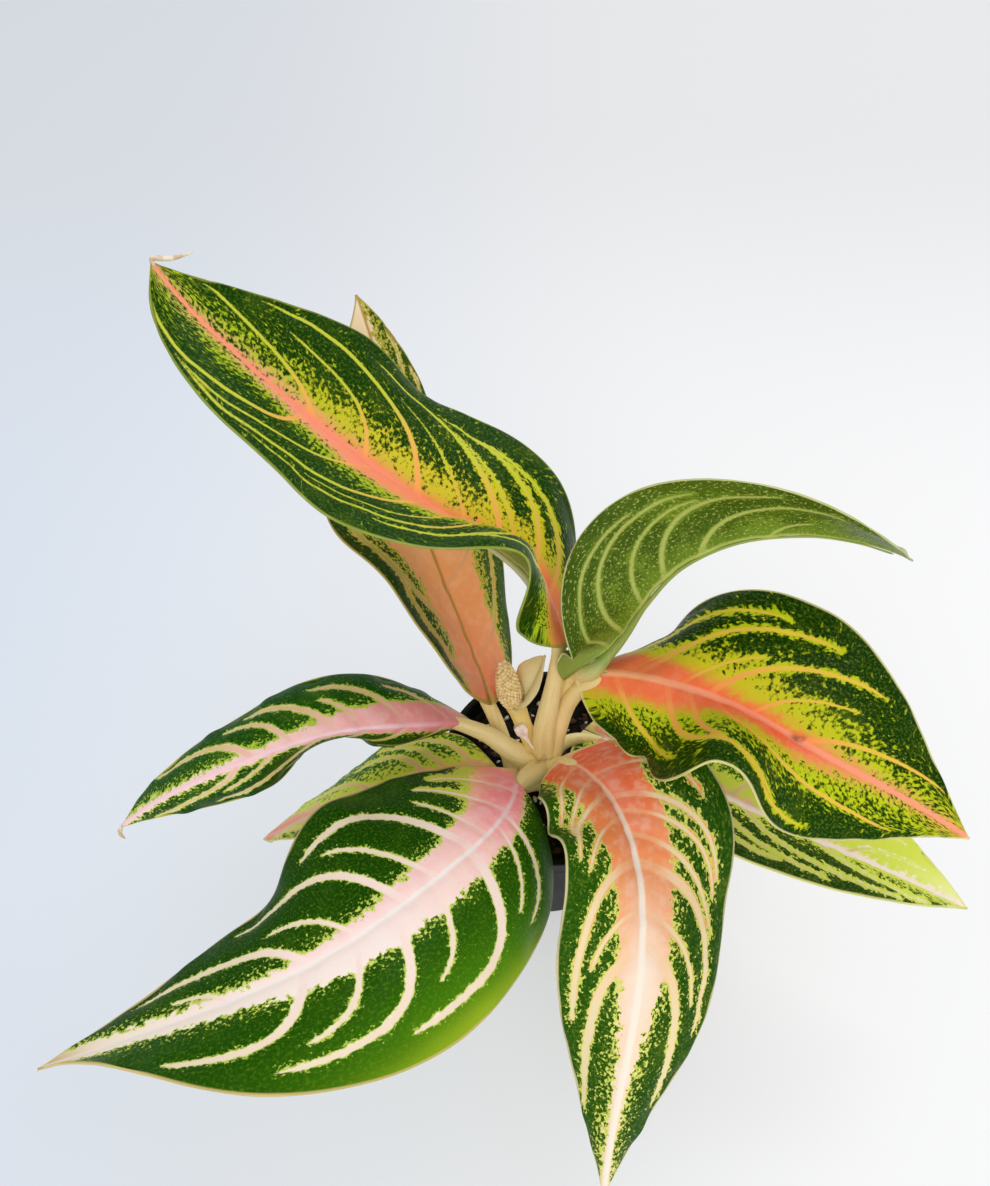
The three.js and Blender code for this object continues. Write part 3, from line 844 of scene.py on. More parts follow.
@dataclass(frozen=True)
class LeafPaint:
    """The living skin of a leaf: waxy, satin, with variegation that breaks up into cells of about a mm.

    The pattern is read from distances in millimetres that are laid on the blade.
    """

    pattern: Pattern
    name: str
    cell_mm: float = 1.2
    roughness: float = 0.36
    specular: float = 0.04
    under_specular: float = 0.09
    edge_roughness: float = 0.5
    grain_per_mm: float = 0.9
    grain_depth_mm: float = 0.12
    under_depth_mm: float = 0.1
    rounding_mm: float = 3.0

    def parts(self, shading: Shading, name: str) -> list[bpy.types.NodeSocket]:
        """The three numbers of a vector laid on the blade."""
        return list(shading.add(Step.SPLIT, shading.add(Step.LAID_VECTOR, attribute_name=name)).node.outputs)

    def masks(self, shading: Shading, soft: float) -> tuple[Any, Any, Any, Any]:
        """Shares of lime, dark green, vein and midrib over the ground.

        Args:
            shading: The material in the making.
            soft: How wide each edge is, in millimetres.

        Returns:
            The four shares.
        """
        pattern, add = self.pattern, shading.add
        place = add(Step.LAID_VECTOR, attribute_name="leaf_mm")
        beside, half, near = self.parts(shading, "vein")
        across, reach, deeper = self.parts(shading, "zone")
        rib = self.parts(shading, "edge")[0]
        # Lime begins clear of the veins and of the open centre, and dark green further in.
        off_vein = add(Step.SUBTRACT, add(Step.ABSOLUTE, beside), half)
        off_vein = add(Step.MAXIMUM, off_vein, add(Step.SUBTRACT, near, 0.3))
        clear = add(Step.SUBTRACT, off_vein, pattern.vein_gap)
        outside = add(Step.ADD, across, 0.5 * max(pattern.blend_mm - 1, 0))
        patch = add(Step.SMOOTH_MIN, outside, clear, self.rounding_mm)
        green_from = add(Step.ADD, add(Step.SUBTRACT, clear, pattern.lime_vein), deeper)
        deep = add(Step.SMOOTH_MIN, reach, green_from, self.rounding_mm)
        # Every edge is jagged by coarse waves and by single cells, less so close to a vein.
        ragged = add(Step.GRAIN, place, 1 / (2.2 * self.cell_mm), 3, 0.6)
        cell = add(Step.RED, add(Step.CELLS, place, 1 / self.cell_mm))
        shift = add(Step.MULTIPLY_ADD, ragged, 9 * pattern.jag, -4.5 * pattern.jag)
        shift = add(Step.MULTIPLY_ADD, cell, 1.6 * pattern.jag, shift)
        shift = add(Step.MULTIPLY, shift, add(Step.EASE, off_vein, 0.5, 4.5, 0.3, 1))
        half_blend = 0.5 * pattern.blend_mm * soft
        lime = add(Step.EASE, add(Step.ADD, patch, shift), 0.1 - 0.4 * soft, 0.2 + 0.4 * soft)
        by_rib = add(Step.EASE, add(Step.ADD, across, shift), 0.1 - half_blend, 0.2 + half_blend)
        lime = add(Step.MULTIPLY, lime, by_rib)
        deep = add(Step.ADD, deep, shift)
        # The green is whole deep inside and breaks up into specks and clumps towards its edge.
        run = add(Step.LAID_VECTOR, attribute_name="flow") if pattern.streaks else place
        specks = add(Step.GRAIN, run, 1 / pattern.fleck_mm, 2, 0.6)
        inward = add(Step.MINIMUM, reach, add(Step.MULTIPLY, deep, pattern.fleck_vein))
        depth = add(Step.EASE, inward, 0, pattern.fleck_reach, *pattern.cover)
        clumps = add(Step.GRAIN, run, 0.16 / pattern.fleck_mm, 2, 0.5)
        depth = add(Step.ADD, depth, add(Step.MULTIPLY_ADD, clumps, -pattern.clump, 0.5 * pattern.clump))
        depth = add(Step.SUBTRACT, depth, add(Step.LAID_NUMBER, attribute_name="speckled"))
        blur = pattern.fleck_blur
        speck = add(Step.EASE, add(Step.SUBTRACT, specks, depth), -0.4 * blur, 0.6 * blur, 1, 0)
        dark = add(Step.MULTIPLY, add(Step.EASE, deep, 0, 0.6 * soft), speck)
        # Veins thin out in places, and are fainter inside the open centre.
        thin = add(Step.MULTIPLY_ADD, add(Step.GRAIN, place, 0.7, 2), 0.7, off_vein)
        vein = add(Step.EASE, thin, 0.1, 0.5 + 0.3 * soft, 1, 0)
        vein = add(Step.MULTIPLY, vein, add(Step.EASE, across, -7, 0, pattern.vein_inside, 1))
        return lime, dark, vein, add(Step.EASE, rib, -0.7, 0.8, 1, 0)

    def upper(self) -> bpy.types.Material:
        """The painted upper face.

        Returns:
            Its material.
        """
        pattern = self.pattern
        shading = Shading(f"Leaf skin, upper face, {self.name}")
        add = shading.add
        place = add(Step.LAID_VECTOR, attribute_name="leaf_mm")
        lime, dark, vein, rib = self.masks(shading, 1.0)
        cloud = add(Step.GRAIN, place, 0.05, 3)
        feather = add(Step.GRAIN, add(Step.LAID_VECTOR, attribute_name="flow"), 0.22, 3, 0.6)
        mottle = add(Step.GRAIN, place, 1 / self.cell_mm, 3, 0.7)
        # Wide clouds and feathery streaks of a paler tone in the open centre.
        pale, fleck = linear(pattern.feather or pattern.rib), linear(pattern.fleck)
        ground = add(Step.LAID_COLOUR, attribute_name="ground")
        ground = add(Step.BLEND, add(Step.EASE, cloud, 0.45, 0.75, 0, 0.14), ground, pale)
        ground = add(Step.BLEND, add(Step.EASE, feather, 0.42, 0.7, 0, 0.25), ground, pale)
        # Clouds and single cells of a lighter green in the dark green.
        green = add(Step.LAID_COLOUR, attribute_name="dark")
        green = add(Step.BLEND, add(Step.EASE, cloud, 0.5, 0.8, 0, 0.14), green, fleck)
        green = add(Step.BLEND, add(Step.EASE, mottle, 0.46, 0.72, 0, 0.3), green, fleck)
        _, rim, dried = self.parts(shading, "edge")
        margin = add(Step.EASE, rim, 0.3, pattern.margin_mm + 0.5, 0.85, 0)
        colour = ground
        for share, tone in (
            (lime, add(Step.LAID_COLOUR, attribute_name="lime")),
            (dark, green),
            (vein, add(Step.LAID_COLOUR, attribute_name="streak")),
            (rib, add(Step.LAID_COLOUR, attribute_name="tint")),
            (margin, linear(pattern.margin)),
            (dried, linear(pattern.dried)),
        ):
            colour = add(Step.BLEND, share, colour, tone)
        fine = add(Step.GRAIN, place, self.grain_per_mm, 3)
        return shading.finish(
            colour, self.roughness, fine, self.grain_depth_mm, Specular_IOR_Level=self.specular
        )

    def lower(self) -> bpy.types.Material:
        """The duller underside, where the pattern only shows through.

        Returns:
            Its material.
        """
        pattern = self.pattern
        shading = Shading(f"Leaf skin, underside, {self.name}")
        add = shading.add
        place = add(Step.LAID_VECTOR, attribute_name="leaf_mm")
        along = self.parts(shading, "leaf_mm")[0]
        lime, dark, vein, rib = self.masks(shading, 2.5)
        plain, deep = linear(pattern.under), linear(pattern.under_dark)
        pale, root = linear(pattern.under_vein), linear(pattern.under_root)
        cloud = add(Step.GRAIN, place, 0.08, 4)
        green = add(Step.BLEND, add(Step.EASE, cloud, 0.4, 0.65), deep, plain)
        dots = add(Step.EASE, add(Step.GRAIN, place, 0.95, 2, 0.7), 0.57, 0.64, 0, 0.75)
        colour = add(Step.BLEND, add(Step.EASE, along, 4, 26), root, plain)
        for share, tone in (
            (add(Step.MULTIPLY, lime, 0.75), green),
            (add(Step.MULTIPLY, dark, 0.7), deep),
            (dots, pale),
            (add(Step.MULTIPLY, vein, 0.8), pale),
            (add(Step.EASE, along, 14, 2, 0, 0.8), root),
            (rib, pale),
        ):
            colour = add(Step.BLEND, share, colour, tone)
        fine = add(Step.GRAIN, place, self.grain_per_mm, 3)
        return shading.finish(
            colour, self.roughness, fine, self.under_depth_mm, Specular_IOR_Level=self.under_specular
        )

    def edge(self) -> bpy.types.Material:
        """The pale cut of the margin.

        Returns:
            Its material.
        """
        shading = Shading(f"Leaf margin, {self.name}")
        add = shading.add
        cloud = add(Step.GRAIN, add(Step.LAID_VECTOR, attribute_name="leaf_mm"), 0.2, 2)
        share = add(Step.EASE, cloud, 0.4, 0.7, 0, 0.5)
        colour = add(Step.BLEND, share, linear(self.pattern.margin), linear(self.pattern.lime))
        return shading.finish(colour, self.edge_roughness)


# Round parts ------------------------------------------------------------------

# A bar's end is rounded over its last rings and leaves a flat of this share of the radius.
CAP_RINGS = 3
CAP_FLAT = 0.35

# Where a path runs along the upright direction to within this sine, the bar's side is taken from another.
NEARLY_ALONG = 0.25
SPARE_UPRIGHT = (0, -1.0, 0.2)


def runs(points: np.ndarray) -> np.ndarray:
    """Distances along a row of points, at each of them."""
    return np.concatenate([[0], np.cumsum(np.linalg.norm(np.diff(points, axis=0), axis=1))])


def smooth_path(path: Sequence[Point], steps: int) -> np.ndarray:
    """A smooth curve through given points.

    Args:
        path: The given points.
        steps: Equal stretches to divide the curve into.

    Returns:
        The ends of the stretches.
    """
    known = np.array(path, float)
    run = runs(known)
    fine = smooth_at(run, known, np.linspace(0, run[-1], 12 * steps + 1))
    length = runs(fine)
    at = np.linspace(0, length[-1], steps + 1)
    return np.stack([np.interp(at, length, fine[:, k]) for k in range(3)], -1)


def frames_along(line: np.ndarray, upright: Point) -> tuple[np.ndarray, np.ndarray]:
    """Two directions across a path at each of its points.

    Args:
        line: The path's points.
        upright: The direction that the first of the two leans to.

    Returns:
        Unit directions to the top and to the side.
    """
    tangent = np.gradient(line, axis=0)
    tangent /= np.linalg.norm(tangent, axis=1)[:, None]
    side = np.cross(np.array(upright, float), tangent)
    for i in range(len(side)):
        if np.linalg.norm(side[i]) < NEARLY_ALONG:
            side[i] = side[i - 1] if i else np.cross(SPARE_UPRIGHT, tangent[0])
        side[i] -= tangent[i] * side[i].dot(tangent[i])
        side[i] /= np.linalg.norm(side[i])
    return np.cross(tangent, side), side


def open_tube(bm: bmesh.types.BMesh, sides: int, steps: int) -> list[list[bmesh.types.BMVert]]:
    """A ring extruded again and again.

    Args:
        bm: The empty bmesh that gets it.
        sides: Corners of the ring.
        steps: How often it is extruded.

    Returns:
        The corners of each ring, all in the same order.
    """
    ring = bmesh.ops.create_circle(bm, segments=sides, radius=1)["verts"]
    edges = bm.edges[:]
    rows = [ring]
    for _ in range(steps):
        made = bmesh.ops.extrude_edge_only(bm, edges=edges)["geom"]
        edges = [g for g in made if isinstance(g, bmesh.types.BMEdge)]
        fresh = {g for g in made if isinstance(g, bmesh.types.BMVert)}
        ring = [next(v for e in old.link_edges if (v := e.other_vert(old)) in fresh) for old in ring]
        rows.append(ring)
    return rows


def swept_mesh(
    name: str,
    path: Sequence[Point],
    radii: Sequence[float],
    sides: int,
    steps: int,
    relief: Callable[[float, np.ndarray, float], np.ndarray] | None = None,
    upright: Point = (0, 0, 1),
) -> bpy.types.Mesh:
    """A round bar along a smooth path, closed and rounded at both ends.

    Args:
        name: The mesh's name.
        path: Points of the path in millimetres.
        radii: Radii spread evenly along it, in millimetres.
        sides: Corners round the bar.
        steps: Rings along it.
        relief: Millimetres to add, from the share along, the angle from the top, and the radius there.
        upright: The direction from which the angle is counted.

    Returns:
        The mesh, with the attribute "run": millimetres along, round, and the share along.
    """
    line = smooth_path(path, steps)
    share = np.linspace(0, 1, steps + 1)
    radius = np.interp(share, np.linspace(0, 1, len(radii)), radii)
    top, side = frames_along(line, upright)
    angle = 2 * np.pi * np.arange(sides) / sides
    length = runs(line)[-1]
    bm = bmesh.new()
    rows = open_tube(bm, sides, steps)
    bm.verts.index_update()
    run = np.zeros((len(bm.verts), 3))
    for i, row in enumerate(rows):
        from_end = min(i, steps - i, CAP_RINGS) / CAP_RINGS
        cap = min(1.0, math.sqrt(max(0.0, 1 - (1 - from_end) ** 2)) + CAP_FLAT)
        reach = radius[i] * cap + (relief(share[i], angle, radius[i]) if relief else 0.0)
        up, aside = (np.cos(angle) * reach)[:, None], (np.sin(angle) * reach)[:, None]
        spots = line[i] + up * top[i] + aside * side[i]
        for vert, spot, turn in zip(row, spots, angle):
            vert.co = Vector(spot) * MM
            run[vert.index] = (share[i] * length, turn * radius[i], share[i])
    bmesh.ops.holes_fill(bm, edges=[e for e in bm.edges if e.is_boundary], sides=sides)
    bmesh.ops.recalc_face_normals(bm, faces=bm.faces)
    mesh = mesh_of(bm, name)
    lay(mesh, "run", "FLOAT_VECTOR", run)
    return mesh


@dataclass
class Petiole:
    """A leaf stalk that clasps the cane with a winged sheath and runs on as the keel under the midrib.

    Seam and lips are shares of the radius high, and their places and widths are angles round the stalk.
    """

    name: str
    path: tuple[Point, ...]
    radii: tuple[float, ...]
    blade: BladeShape
    keel: str
    tones: tuple[str, str, str] = ("#f0d48c", "#f8e2a2", "#f2dc98")
    tone_stations: tuple[float, ...] = (0.0, 0.35, 0.92, 1.12, 1.6)
    sheath: float = 0.3
    seam_depth: float = 0.22
    seam_width: float = 0.16
    lip_height: float = 0.09
    lip_angle: float = 0.42
    lip_width: float = 0.2
    keel_stations: tuple[float, ...] = (0.06, 0.14, 0.25, 0.4, 0.55, 0.7, 0.82, 0.93)
    keel_least: float = 0.35
    keel_swell: float = 0.66
    keel_fade: float = 0.2
    keel_gap: float = 0.85
    seat_gap: float = 0.6
    radius_steps: int = 60
    sides: int = 28
    ring_spacing: float = 1.6
    stalk_share: float = field(default=1.0, init=False)

    def keel_radius(self, s: float) -> float:
        """The keel's radius in millimetres at a share of the blade's length."""
        return self.keel_least + self.keel_swell * self.radii[-1] * math.exp(-s / self.keel_fade)

    def run(self) -> tuple[list[Point], list[float]]:
        """The stalk, with the keel that follows the midrib's underside.

        Returns:
            The path, and its radii at even distances, in millimetres.
        """
        place, _, left, up = self.blade.midrib()
        steps = np.linspace(0, 1, len(place))
        fold_left = np.radians(smooth_at(FOLD_STATIONS, self.blade.fold_left, steps))
        fold_right = np.radians(smooth_at(FOLD_STATIONS, self.blade.fold_right, steps))
        lean = (fold_right - fold_left)[:, None] / 2
        middle = up * np.cos(lean) + left * np.sin(lean)
        room = 1 / np.clip(np.cos(np.minimum(fold_left + fold_right, 0) / 2), 0.5, 1)
        last = self.radii[-1]
        points = [tuple(p) for p in self.path]
        points.append(tuple(place[0] - room[0] * (0.9 * last + self.seat_gap) * middle[0]))
        for s in self.keel_stations:
            i = round(s * (len(place) - 1))
            points.append(tuple(place[i] - room[i] * (self.keel_radius(s) + self.keel_gap) * middle[i]))
        run = runs(np.array(points))
        stalk = run[len(self.path)]
        keel_radii = [last] + [self.keel_radius(s) for s in self.keel_stations]
        stations = np.linspace(0, 1, len(self.radii))
        widths = [
            float(
                np.interp(d / stalk, stations, self.radii)
                if d < stalk
                else np.interp(d, run[len(self.path) :], keel_radii)
            )
            for d in np.linspace(0, run[-1], self.radius_steps)
        ]
        self.stalk_share = float(stalk / run[-1])
        return points, widths

    def relief(self, share: float, angle: np.ndarray, radius: float) -> np.ndarray:
        """The seam of the sheath down the upper side, which closes at the sheath's end.

        Args:
            share: The share along stalk and keel.
            angle: Angles from the top.
            radius: The radius there.

        Returns:
            Millimetres to add at each angle.
        """
        end = self.sheath * self.stalk_share
        open_by = np.clip((end - share) / (0.25 * end + 1e-6), 0, 1)
        off = np.angle(np.exp(1j * angle))
        seam = -self.seam_depth * radius * np.exp(-((off / self.seam_width) ** 2))
        near_lip, far_lip = (
            np.exp(-(((off + turn) / self.lip_width) ** 2)) for turn in (-self.lip_angle, self.lip_angle)
        )
        return open_by * (seam + self.lip_height * radius * (near_lip + far_lip))

    def build(self, material: bpy.types.Material) -> bpy.types.Object:
        """Builds the stalk.

        Args:
            material: The petiole skin.

        Returns:
            The stalk, with its tones laid on it.
        """
        points, radii = self.run()
        steps = int(runs(np.array(points))[-1] / self.ring_spacing)
        mesh = swept_mesh(self.name, points, radii, self.sides, steps, self.relief)
        run = np.empty(len(mesh.vertices) * 3, np.float32)
        mesh.attributes["run"].data.foreach_get("vector", run)
        share = run.reshape(-1, 3)[:, 2] / self.stalk_share
        tones = (*self.tones, self.keel, self.keel)
        lay(mesh, "skin", "FLOAT_COLOR", colours_at(self.tone_stations, tones, share))
        return new_piece(self.name, mesh, [material])


@dataclass
class Cane:
    """The short stem, ringed by the scars of fallen leaves."""

    path: tuple[Point, ...] = (
        (-5.4, -1.5, 64),
        (-5.4, -2, 78),
        (-5, -3, 92),
        (-4.4, -3.2, 103),
        (-4.2, -3, 110),
    )
    radii: tuple[float, ...] = (7.4, 7.4, 7.4, 7, 2.5)
    scar_spacing: float = 0.17
    scar_tilt: float = 0.12
    scar_width: float = 0.1
    scar_height: float = 0.6
    colour: str = "#cdb27a"

    def relief(self, share: float, angle: np.ndarray, radius: float) -> np.ndarray:
        """Scar rings that tilt a little round the cane."""
        phase = (share / self.scar_spacing + self.scar_tilt * np.cos(angle)) % 1
        return self.scar_height * np.exp(-(((phase - 0.5) / self.scar_width) ** 2))

    def build(self) -> bpy.types.Object:
        """Builds the cane.

        Returns:
            The cane, in tan bark with brown streaks.
        """
        mesh = swept_mesh("cane", self.path, self.radii, 48, 72, self.relief, (0, -1, 0))
        lay(mesh, "skin", "FLOAT_COLOR", np.tile(linear(self.colour), (len(mesh.vertices), 1)))
        skin = PetioleSkin("Cane bark", "#a98850", "#6f5a2c", 0.55)
        return new_piece("cane", mesh, [skin.material()])


@dataclass
class Flower:
    """The small inflorescence: a stalk, a knobbly spadix, the hood behind it and a dried bract."""

    stalk_path: tuple[Point, ...] = (
        (-5, -1, 100),
        (-9.5, 0, 106),
        (-13.5, 4, 114),
        (-16.5, 8.5, 121),
        (-18.2, 9.8, 125),
    )
    stalk_radii: tuple[float, ...] = (4.6, 4, 3.8, 4, 4.6)
    spadix_path: tuple[Point, ...] = (
        (-18.4, 9.9, 125.2),
        (-20.2, 11.6, 129.5),
        (-21.8, 14.6, 136),
        (-22.8, 17, 142),
        (-23.2, 18.2, 145),
    )
    spadix_radii: tuple[float, ...] = (4, 5.7, 5.2, 4.2, 2)
    stalk_colour: str = "#ecd27e"
    spadix_steps: int = 60
    floret_mm: float = 0.95
    floret_room: float = 2.5
    floret_sink_mm: float = 0.35
    hood: BladeShape = BladeShape(
        base=(-17.2, 9.4, 121.8),
        length=34,
        half_width=(14, 10),
        heading=(14, 26, 38, 46, 50),
        climb=(40, 58, 68, 70, 64),
        roll=(-30, -30, -30),
        fold_left=(50, 48, 44, 38, 20),
        fold_right=(50, 48, 44, 38, 20),
        curl_left=(45, 45, 30),
        curl_right=(55, 50, 30),
        lobe_reach=0,
    )
    bract_path: tuple[Point, ...] = (
        (-8.4, -7.4, 103.6),
        (-7.3, -6.6, 104.2),
        (-7.4, -5.4, 106.2),
        (-8.9, -4.6, 108.4),
        (-11.2, -3.6, 112.4),
        (-13.8, -1.6, 116.6),
        (-16.4, 0.2, 121.2),
    )
    bract_radii: tuple[float, ...] = (0.4, 0.45, 0.5, 0.55, 1.0, 3.0, 2.7)

    def spadix(self) -> bpy.types.Object:
        """A core packed with small round florets in a spiral.

        Returns:
            The spadix.
        """
        steps, shares = self.spadix_steps, np.linspace(0, 1, self.spadix_steps + 1)
        core = smooth_path(self.spadix_path, steps)
        radius = np.interp(shares, np.linspace(0, 1, len(self.spadix_radii)), self.spadix_radii)
        core_radii = [r - 0.5 * self.floret_mm for r in self.spadix_radii]
        mesh = swept_mesh("spadix_core", self.spadix_path, core_radii, 24, steps // 2)
        bm = bmesh.new()
        bm.from_mesh(mesh)
        bpy.data.meshes.remove(mesh)
        run = np.linalg.norm(np.diff(core, axis=0), axis=1)
        area = float((2 * np.pi * (radius[1:] - 0.3) * run).sum())
        count = int(area / (self.floret_room * self.floret_mm**2))
        weight = np.concatenate([[0], np.cumsum(2 * np.pi * radius[1:] * run)])
        weight /= weight[-1]
        golden = math.pi * (3 - math.sqrt(5))
        axis = np.gradient(core, axis=0)
        for i in range(count):
            s = float(np.interp((i + 0.5) / count, weight, steps * shares))
            k = min(int(s), steps - 1)
            along = Vector(axis[k]).normalized()
            side = along.cross(Vector((0, 0, 1))).normalized()
            out = Matrix.Rotation(golden * i, 3, along) @ side
            middle = Vector(core[k]).lerp(Vector(core[k + 1]), s - k)
            spot = (middle + out * (radius[k] - self.floret_sink_mm)) * MM
            bmesh.ops.create_uvsphere(
                bm,
                u_segments=7,
                v_segments=5,
                radius=self.floret_mm * MM,
                matrix=Matrix.Translation(spot) @ out.to_track_quat("Z", "Y").to_matrix().to_4x4(),
            )
        # Ripe florets: matt cream, each with tan in its hollows.
        skin = PlainFinish("Dry spadix florets", "#fae6ae", "#e2c07c", 2.2, 0.6, 0.15)
        return new_piece("spadix_head", mesh_of(bm, "spadix_head"), [skin.material()])

    def spathe(self) -> bpy.types.Object:
        """The hood, pale inside with a thin dry margin.

        Returns:
            The hood.
        """
        pattern = Pattern(
            veins=(),
            open_left=(90,) * 5,
            open_right=(90,) * 5,
            # The ground is painted lighter than the hood's own cream: partly its own tone, partly painted
            # light that makes up for the shade inside the hood.
            ground=("#f3e6a4", "#f6eab2", "#f6eab2", "#f0e2a4", "#dccb88"),
            dark=("#b5a35c", "#b5a35c"),
            lime="#c8bd7c",
            fleck="#b5a35c",
            vein_root="#d9ca94",
            vein_end="#d9ca94",
            rib="#d8c890",
            margin="#e5d8a4",
            margin_mm=0.5,
            washes=(Wash(Layer.GROUND, (0.3, -6), (1.6, 1.0), "#8a5a26", 0.9),),
            under="#dccb80",
            under_dark="#cdbb70",
            under_vein="#e4d69a",
        )
        return Blade(
            "spathe_hood",
            self.hood,
            pattern,
            seed=3.0,
            groove=0,
            rib_groove=0.1,
            wave=0.4,
            waves=2,
            rows=56,
            columns=40,
        ).build()

    def spoon(self, share: float, angle: np.ndarray, radius: float) -> np.ndarray:
        """The bract's hollow, which opens along its upper side, and its flattening.

        Args:
            share: The share along the bract.
            angle: Angles from the top.
            radius: The radius there.

        Returns:
            Millimetres to add at each angle.
        """
        off = np.angle(np.exp(1j * angle))
        hollow = np.exp(-((off / 0.7) ** 2)) * np.clip((share - 0.35) / 0.3, 0, 1)
        return -0.6 * radius * hollow - 0.27 * radius * np.cos(angle) ** 2

    def bract(self) -> bpy.types.Object:
        """A curled dry bract, spoon-shaped at its free end.

        Returns:
            The bract.
        """
        mesh = swept_mesh("dry_bract", self.bract_path, self.bract_radii, 24, 50, self.spoon, (0, -1, 0.6))
        # Papery and dry: matt, nearly white with a blush of pink.
        skin = PlainFinish("Dry bract", "#fdf1e8", "#f6d6ca", 3.0, 0.35)
        return new_piece("dry_bract", mesh, [skin.material()])

    def build(self, skin: bpy.types.Material) -> list[tuple[bpy.types.Object, str, str]]:
        """Builds the four parts.

        Args:
            skin: The petiole skin, for the stalk.

        Returns:
            Each part with the node that it stands for and its slot.
        """
        stalk = swept_mesh("flower_stalk", self.stalk_path, self.stalk_radii, 32, 40)
        lay(stalk, "skin", "FLOAT_COLOR", np.tile(linear(self.stalk_colour), (len(stalk.vertices), 1)))
        return [
            (new_piece("flower_stalk", stalk, [skin]), "peduncle", "petiole"),
            (self.spadix(), "spadix", "spadix"),
            (self.spathe(), "spathe", "spathe"),
            (self.bract(), "bract", "spathe"),
        ]


# Pot and potting mix ----------------------------------------------------------


def spun_mesh(name: str, profile: Sequence[Pair], steps: int) -> bpy.types.Mesh:
    """A turned body.

    Args:
        name: The mesh's name.
        profile: Radius and height of each corner, in millimetres, from axis to axis.
        steps: Facets round it.

    Returns:
        The mesh.
    """
    bm = bmesh.new()
    corners = [bm.verts.new((r * MM, 0, z * MM)) for r, z in profile]
    edges = [bm.edges.new(pair) for pair in zip(corners, corners[1:])]
    bmesh.ops.spin(
        bm,
        geom=corners + edges,
        cent=(0, 0, 0),
        axis=(0, 0, 1),
        angle=2 * math.pi,
        steps=steps,
        use_merge=True,
    )
    bmesh.ops.remove_doubles(bm, verts=bm.verts, dist=0.01 * MM)
    bmesh.ops.recalc_face_normals(bm, faces=bm.faces)
    return mesh_of(bm, name)


@dataclass
class Pot:
    """The round nursery pot: tapered wall, banded lip, flat floor with drain holes."""

    height: float = 90
    rim_radius: float = 52.5
    band_height: float = 13
    band_radius: float = 51
    shoulder_radius: float = 48.6
    foot_radius: float = 38
    wall: float = 1.4
    floor: float = 2
    holes: int = 8
    hole_radius: float = 4
    hole_ring: float = 30
    steps: int = 128
    finish: MouldedPolypropylene = field(default_factory=MouldedPolypropylene)

    def profile(self) -> list[Pair]:
        """The wall's cut, with each corner eased by a short chamfer.

        Returns:
            Radius and height of each corner, up the outside and down the inside.
        """
        band = self.height - self.band_height
        inner_band, inner_shoulder = self.band_radius - self.wall, self.shoulder_radius - 2 * self.wall
        return [
            (0, 0),
            (self.foot_radius - 2.2, 0),
            (self.foot_radius - 0.8, 0.5),
            (self.foot_radius, 2),
            (self.shoulder_radius - self.wall, band - 2),
            (self.band_radius - 0.8, band - 0.4),
            (self.band_radius - 0.1, band + 0.5),
            (self.band_radius, self.height - 2.9),
            (self.band_radius + 0.3, self.height - 2.4),
            (self.rim_radius - 0.5, self.height - 2.1),
            (self.rim_radius - 0.08, self.height - 1.6),
            (self.rim_radius, self.height - 1),
            (self.rim_radius - 0.2, self.height - 0.3),
            (self.rim_radius - 0.7, self.height),
            (inner_band + 0.7, self.height),
            (inner_band, self.height - 0.6),
            (inner_band - 0.4, band + 1),
            (inner_shoulder + 0.3, band - 1.4),
            (inner_shoulder, band - 2.4),
            (self.foot_radius - self.wall + 0.4, self.floor + 1.2),
            (self.foot_radius - self.wall - 0.8, self.floor),
            (0, self.floor),
        ]

    def build(self) -> bpy.types.Object:
        """Spins the pot and bores its drain holes.

        Returns:
            The pot.
        """
        mesh = spun_mesh("nursery_pot", self.profile(), self.steps)
        pot = new_piece("nursery_pot", mesh, [self.finish.material()])
        bm = bmesh.new()
        for i in range(self.holes):
            angle = 2 * math.pi * (i + 0.5) / self.holes
            spot = Vector((math.cos(angle), math.sin(angle), 0)) * self.hole_ring * MM
            bmesh.ops.create_cone(
                bm,
                cap_ends=True,
                segments=32,
                radius1=self.hole_radius * MM,
                radius2=self.hole_radius * MM,
                depth=4 * self.floor * MM,
                matrix=Matrix.Translation(spot),
            )
        cutter = new_piece("drain_cutter", mesh_of(bm, "drain_cutter"), [])
        cut = pot.modifiers.new("Drain holes", "BOOLEAN")
        cut.object, cut.operation, cut.solver = cutter, "DIFFERENCE", "EXACT"
        bpy.context.view_layer.update()
        bored = bpy.data.meshes.new_from_object(pot.evaluated_get(bpy.context.evaluated_depsgraph_get()))
        pot.modifiers.clear()
        pot.data = bored
        bpy.data.objects.remove(cutter)
        bored.set_sharp_from_angle(angle=math.radians(35))
        return pot


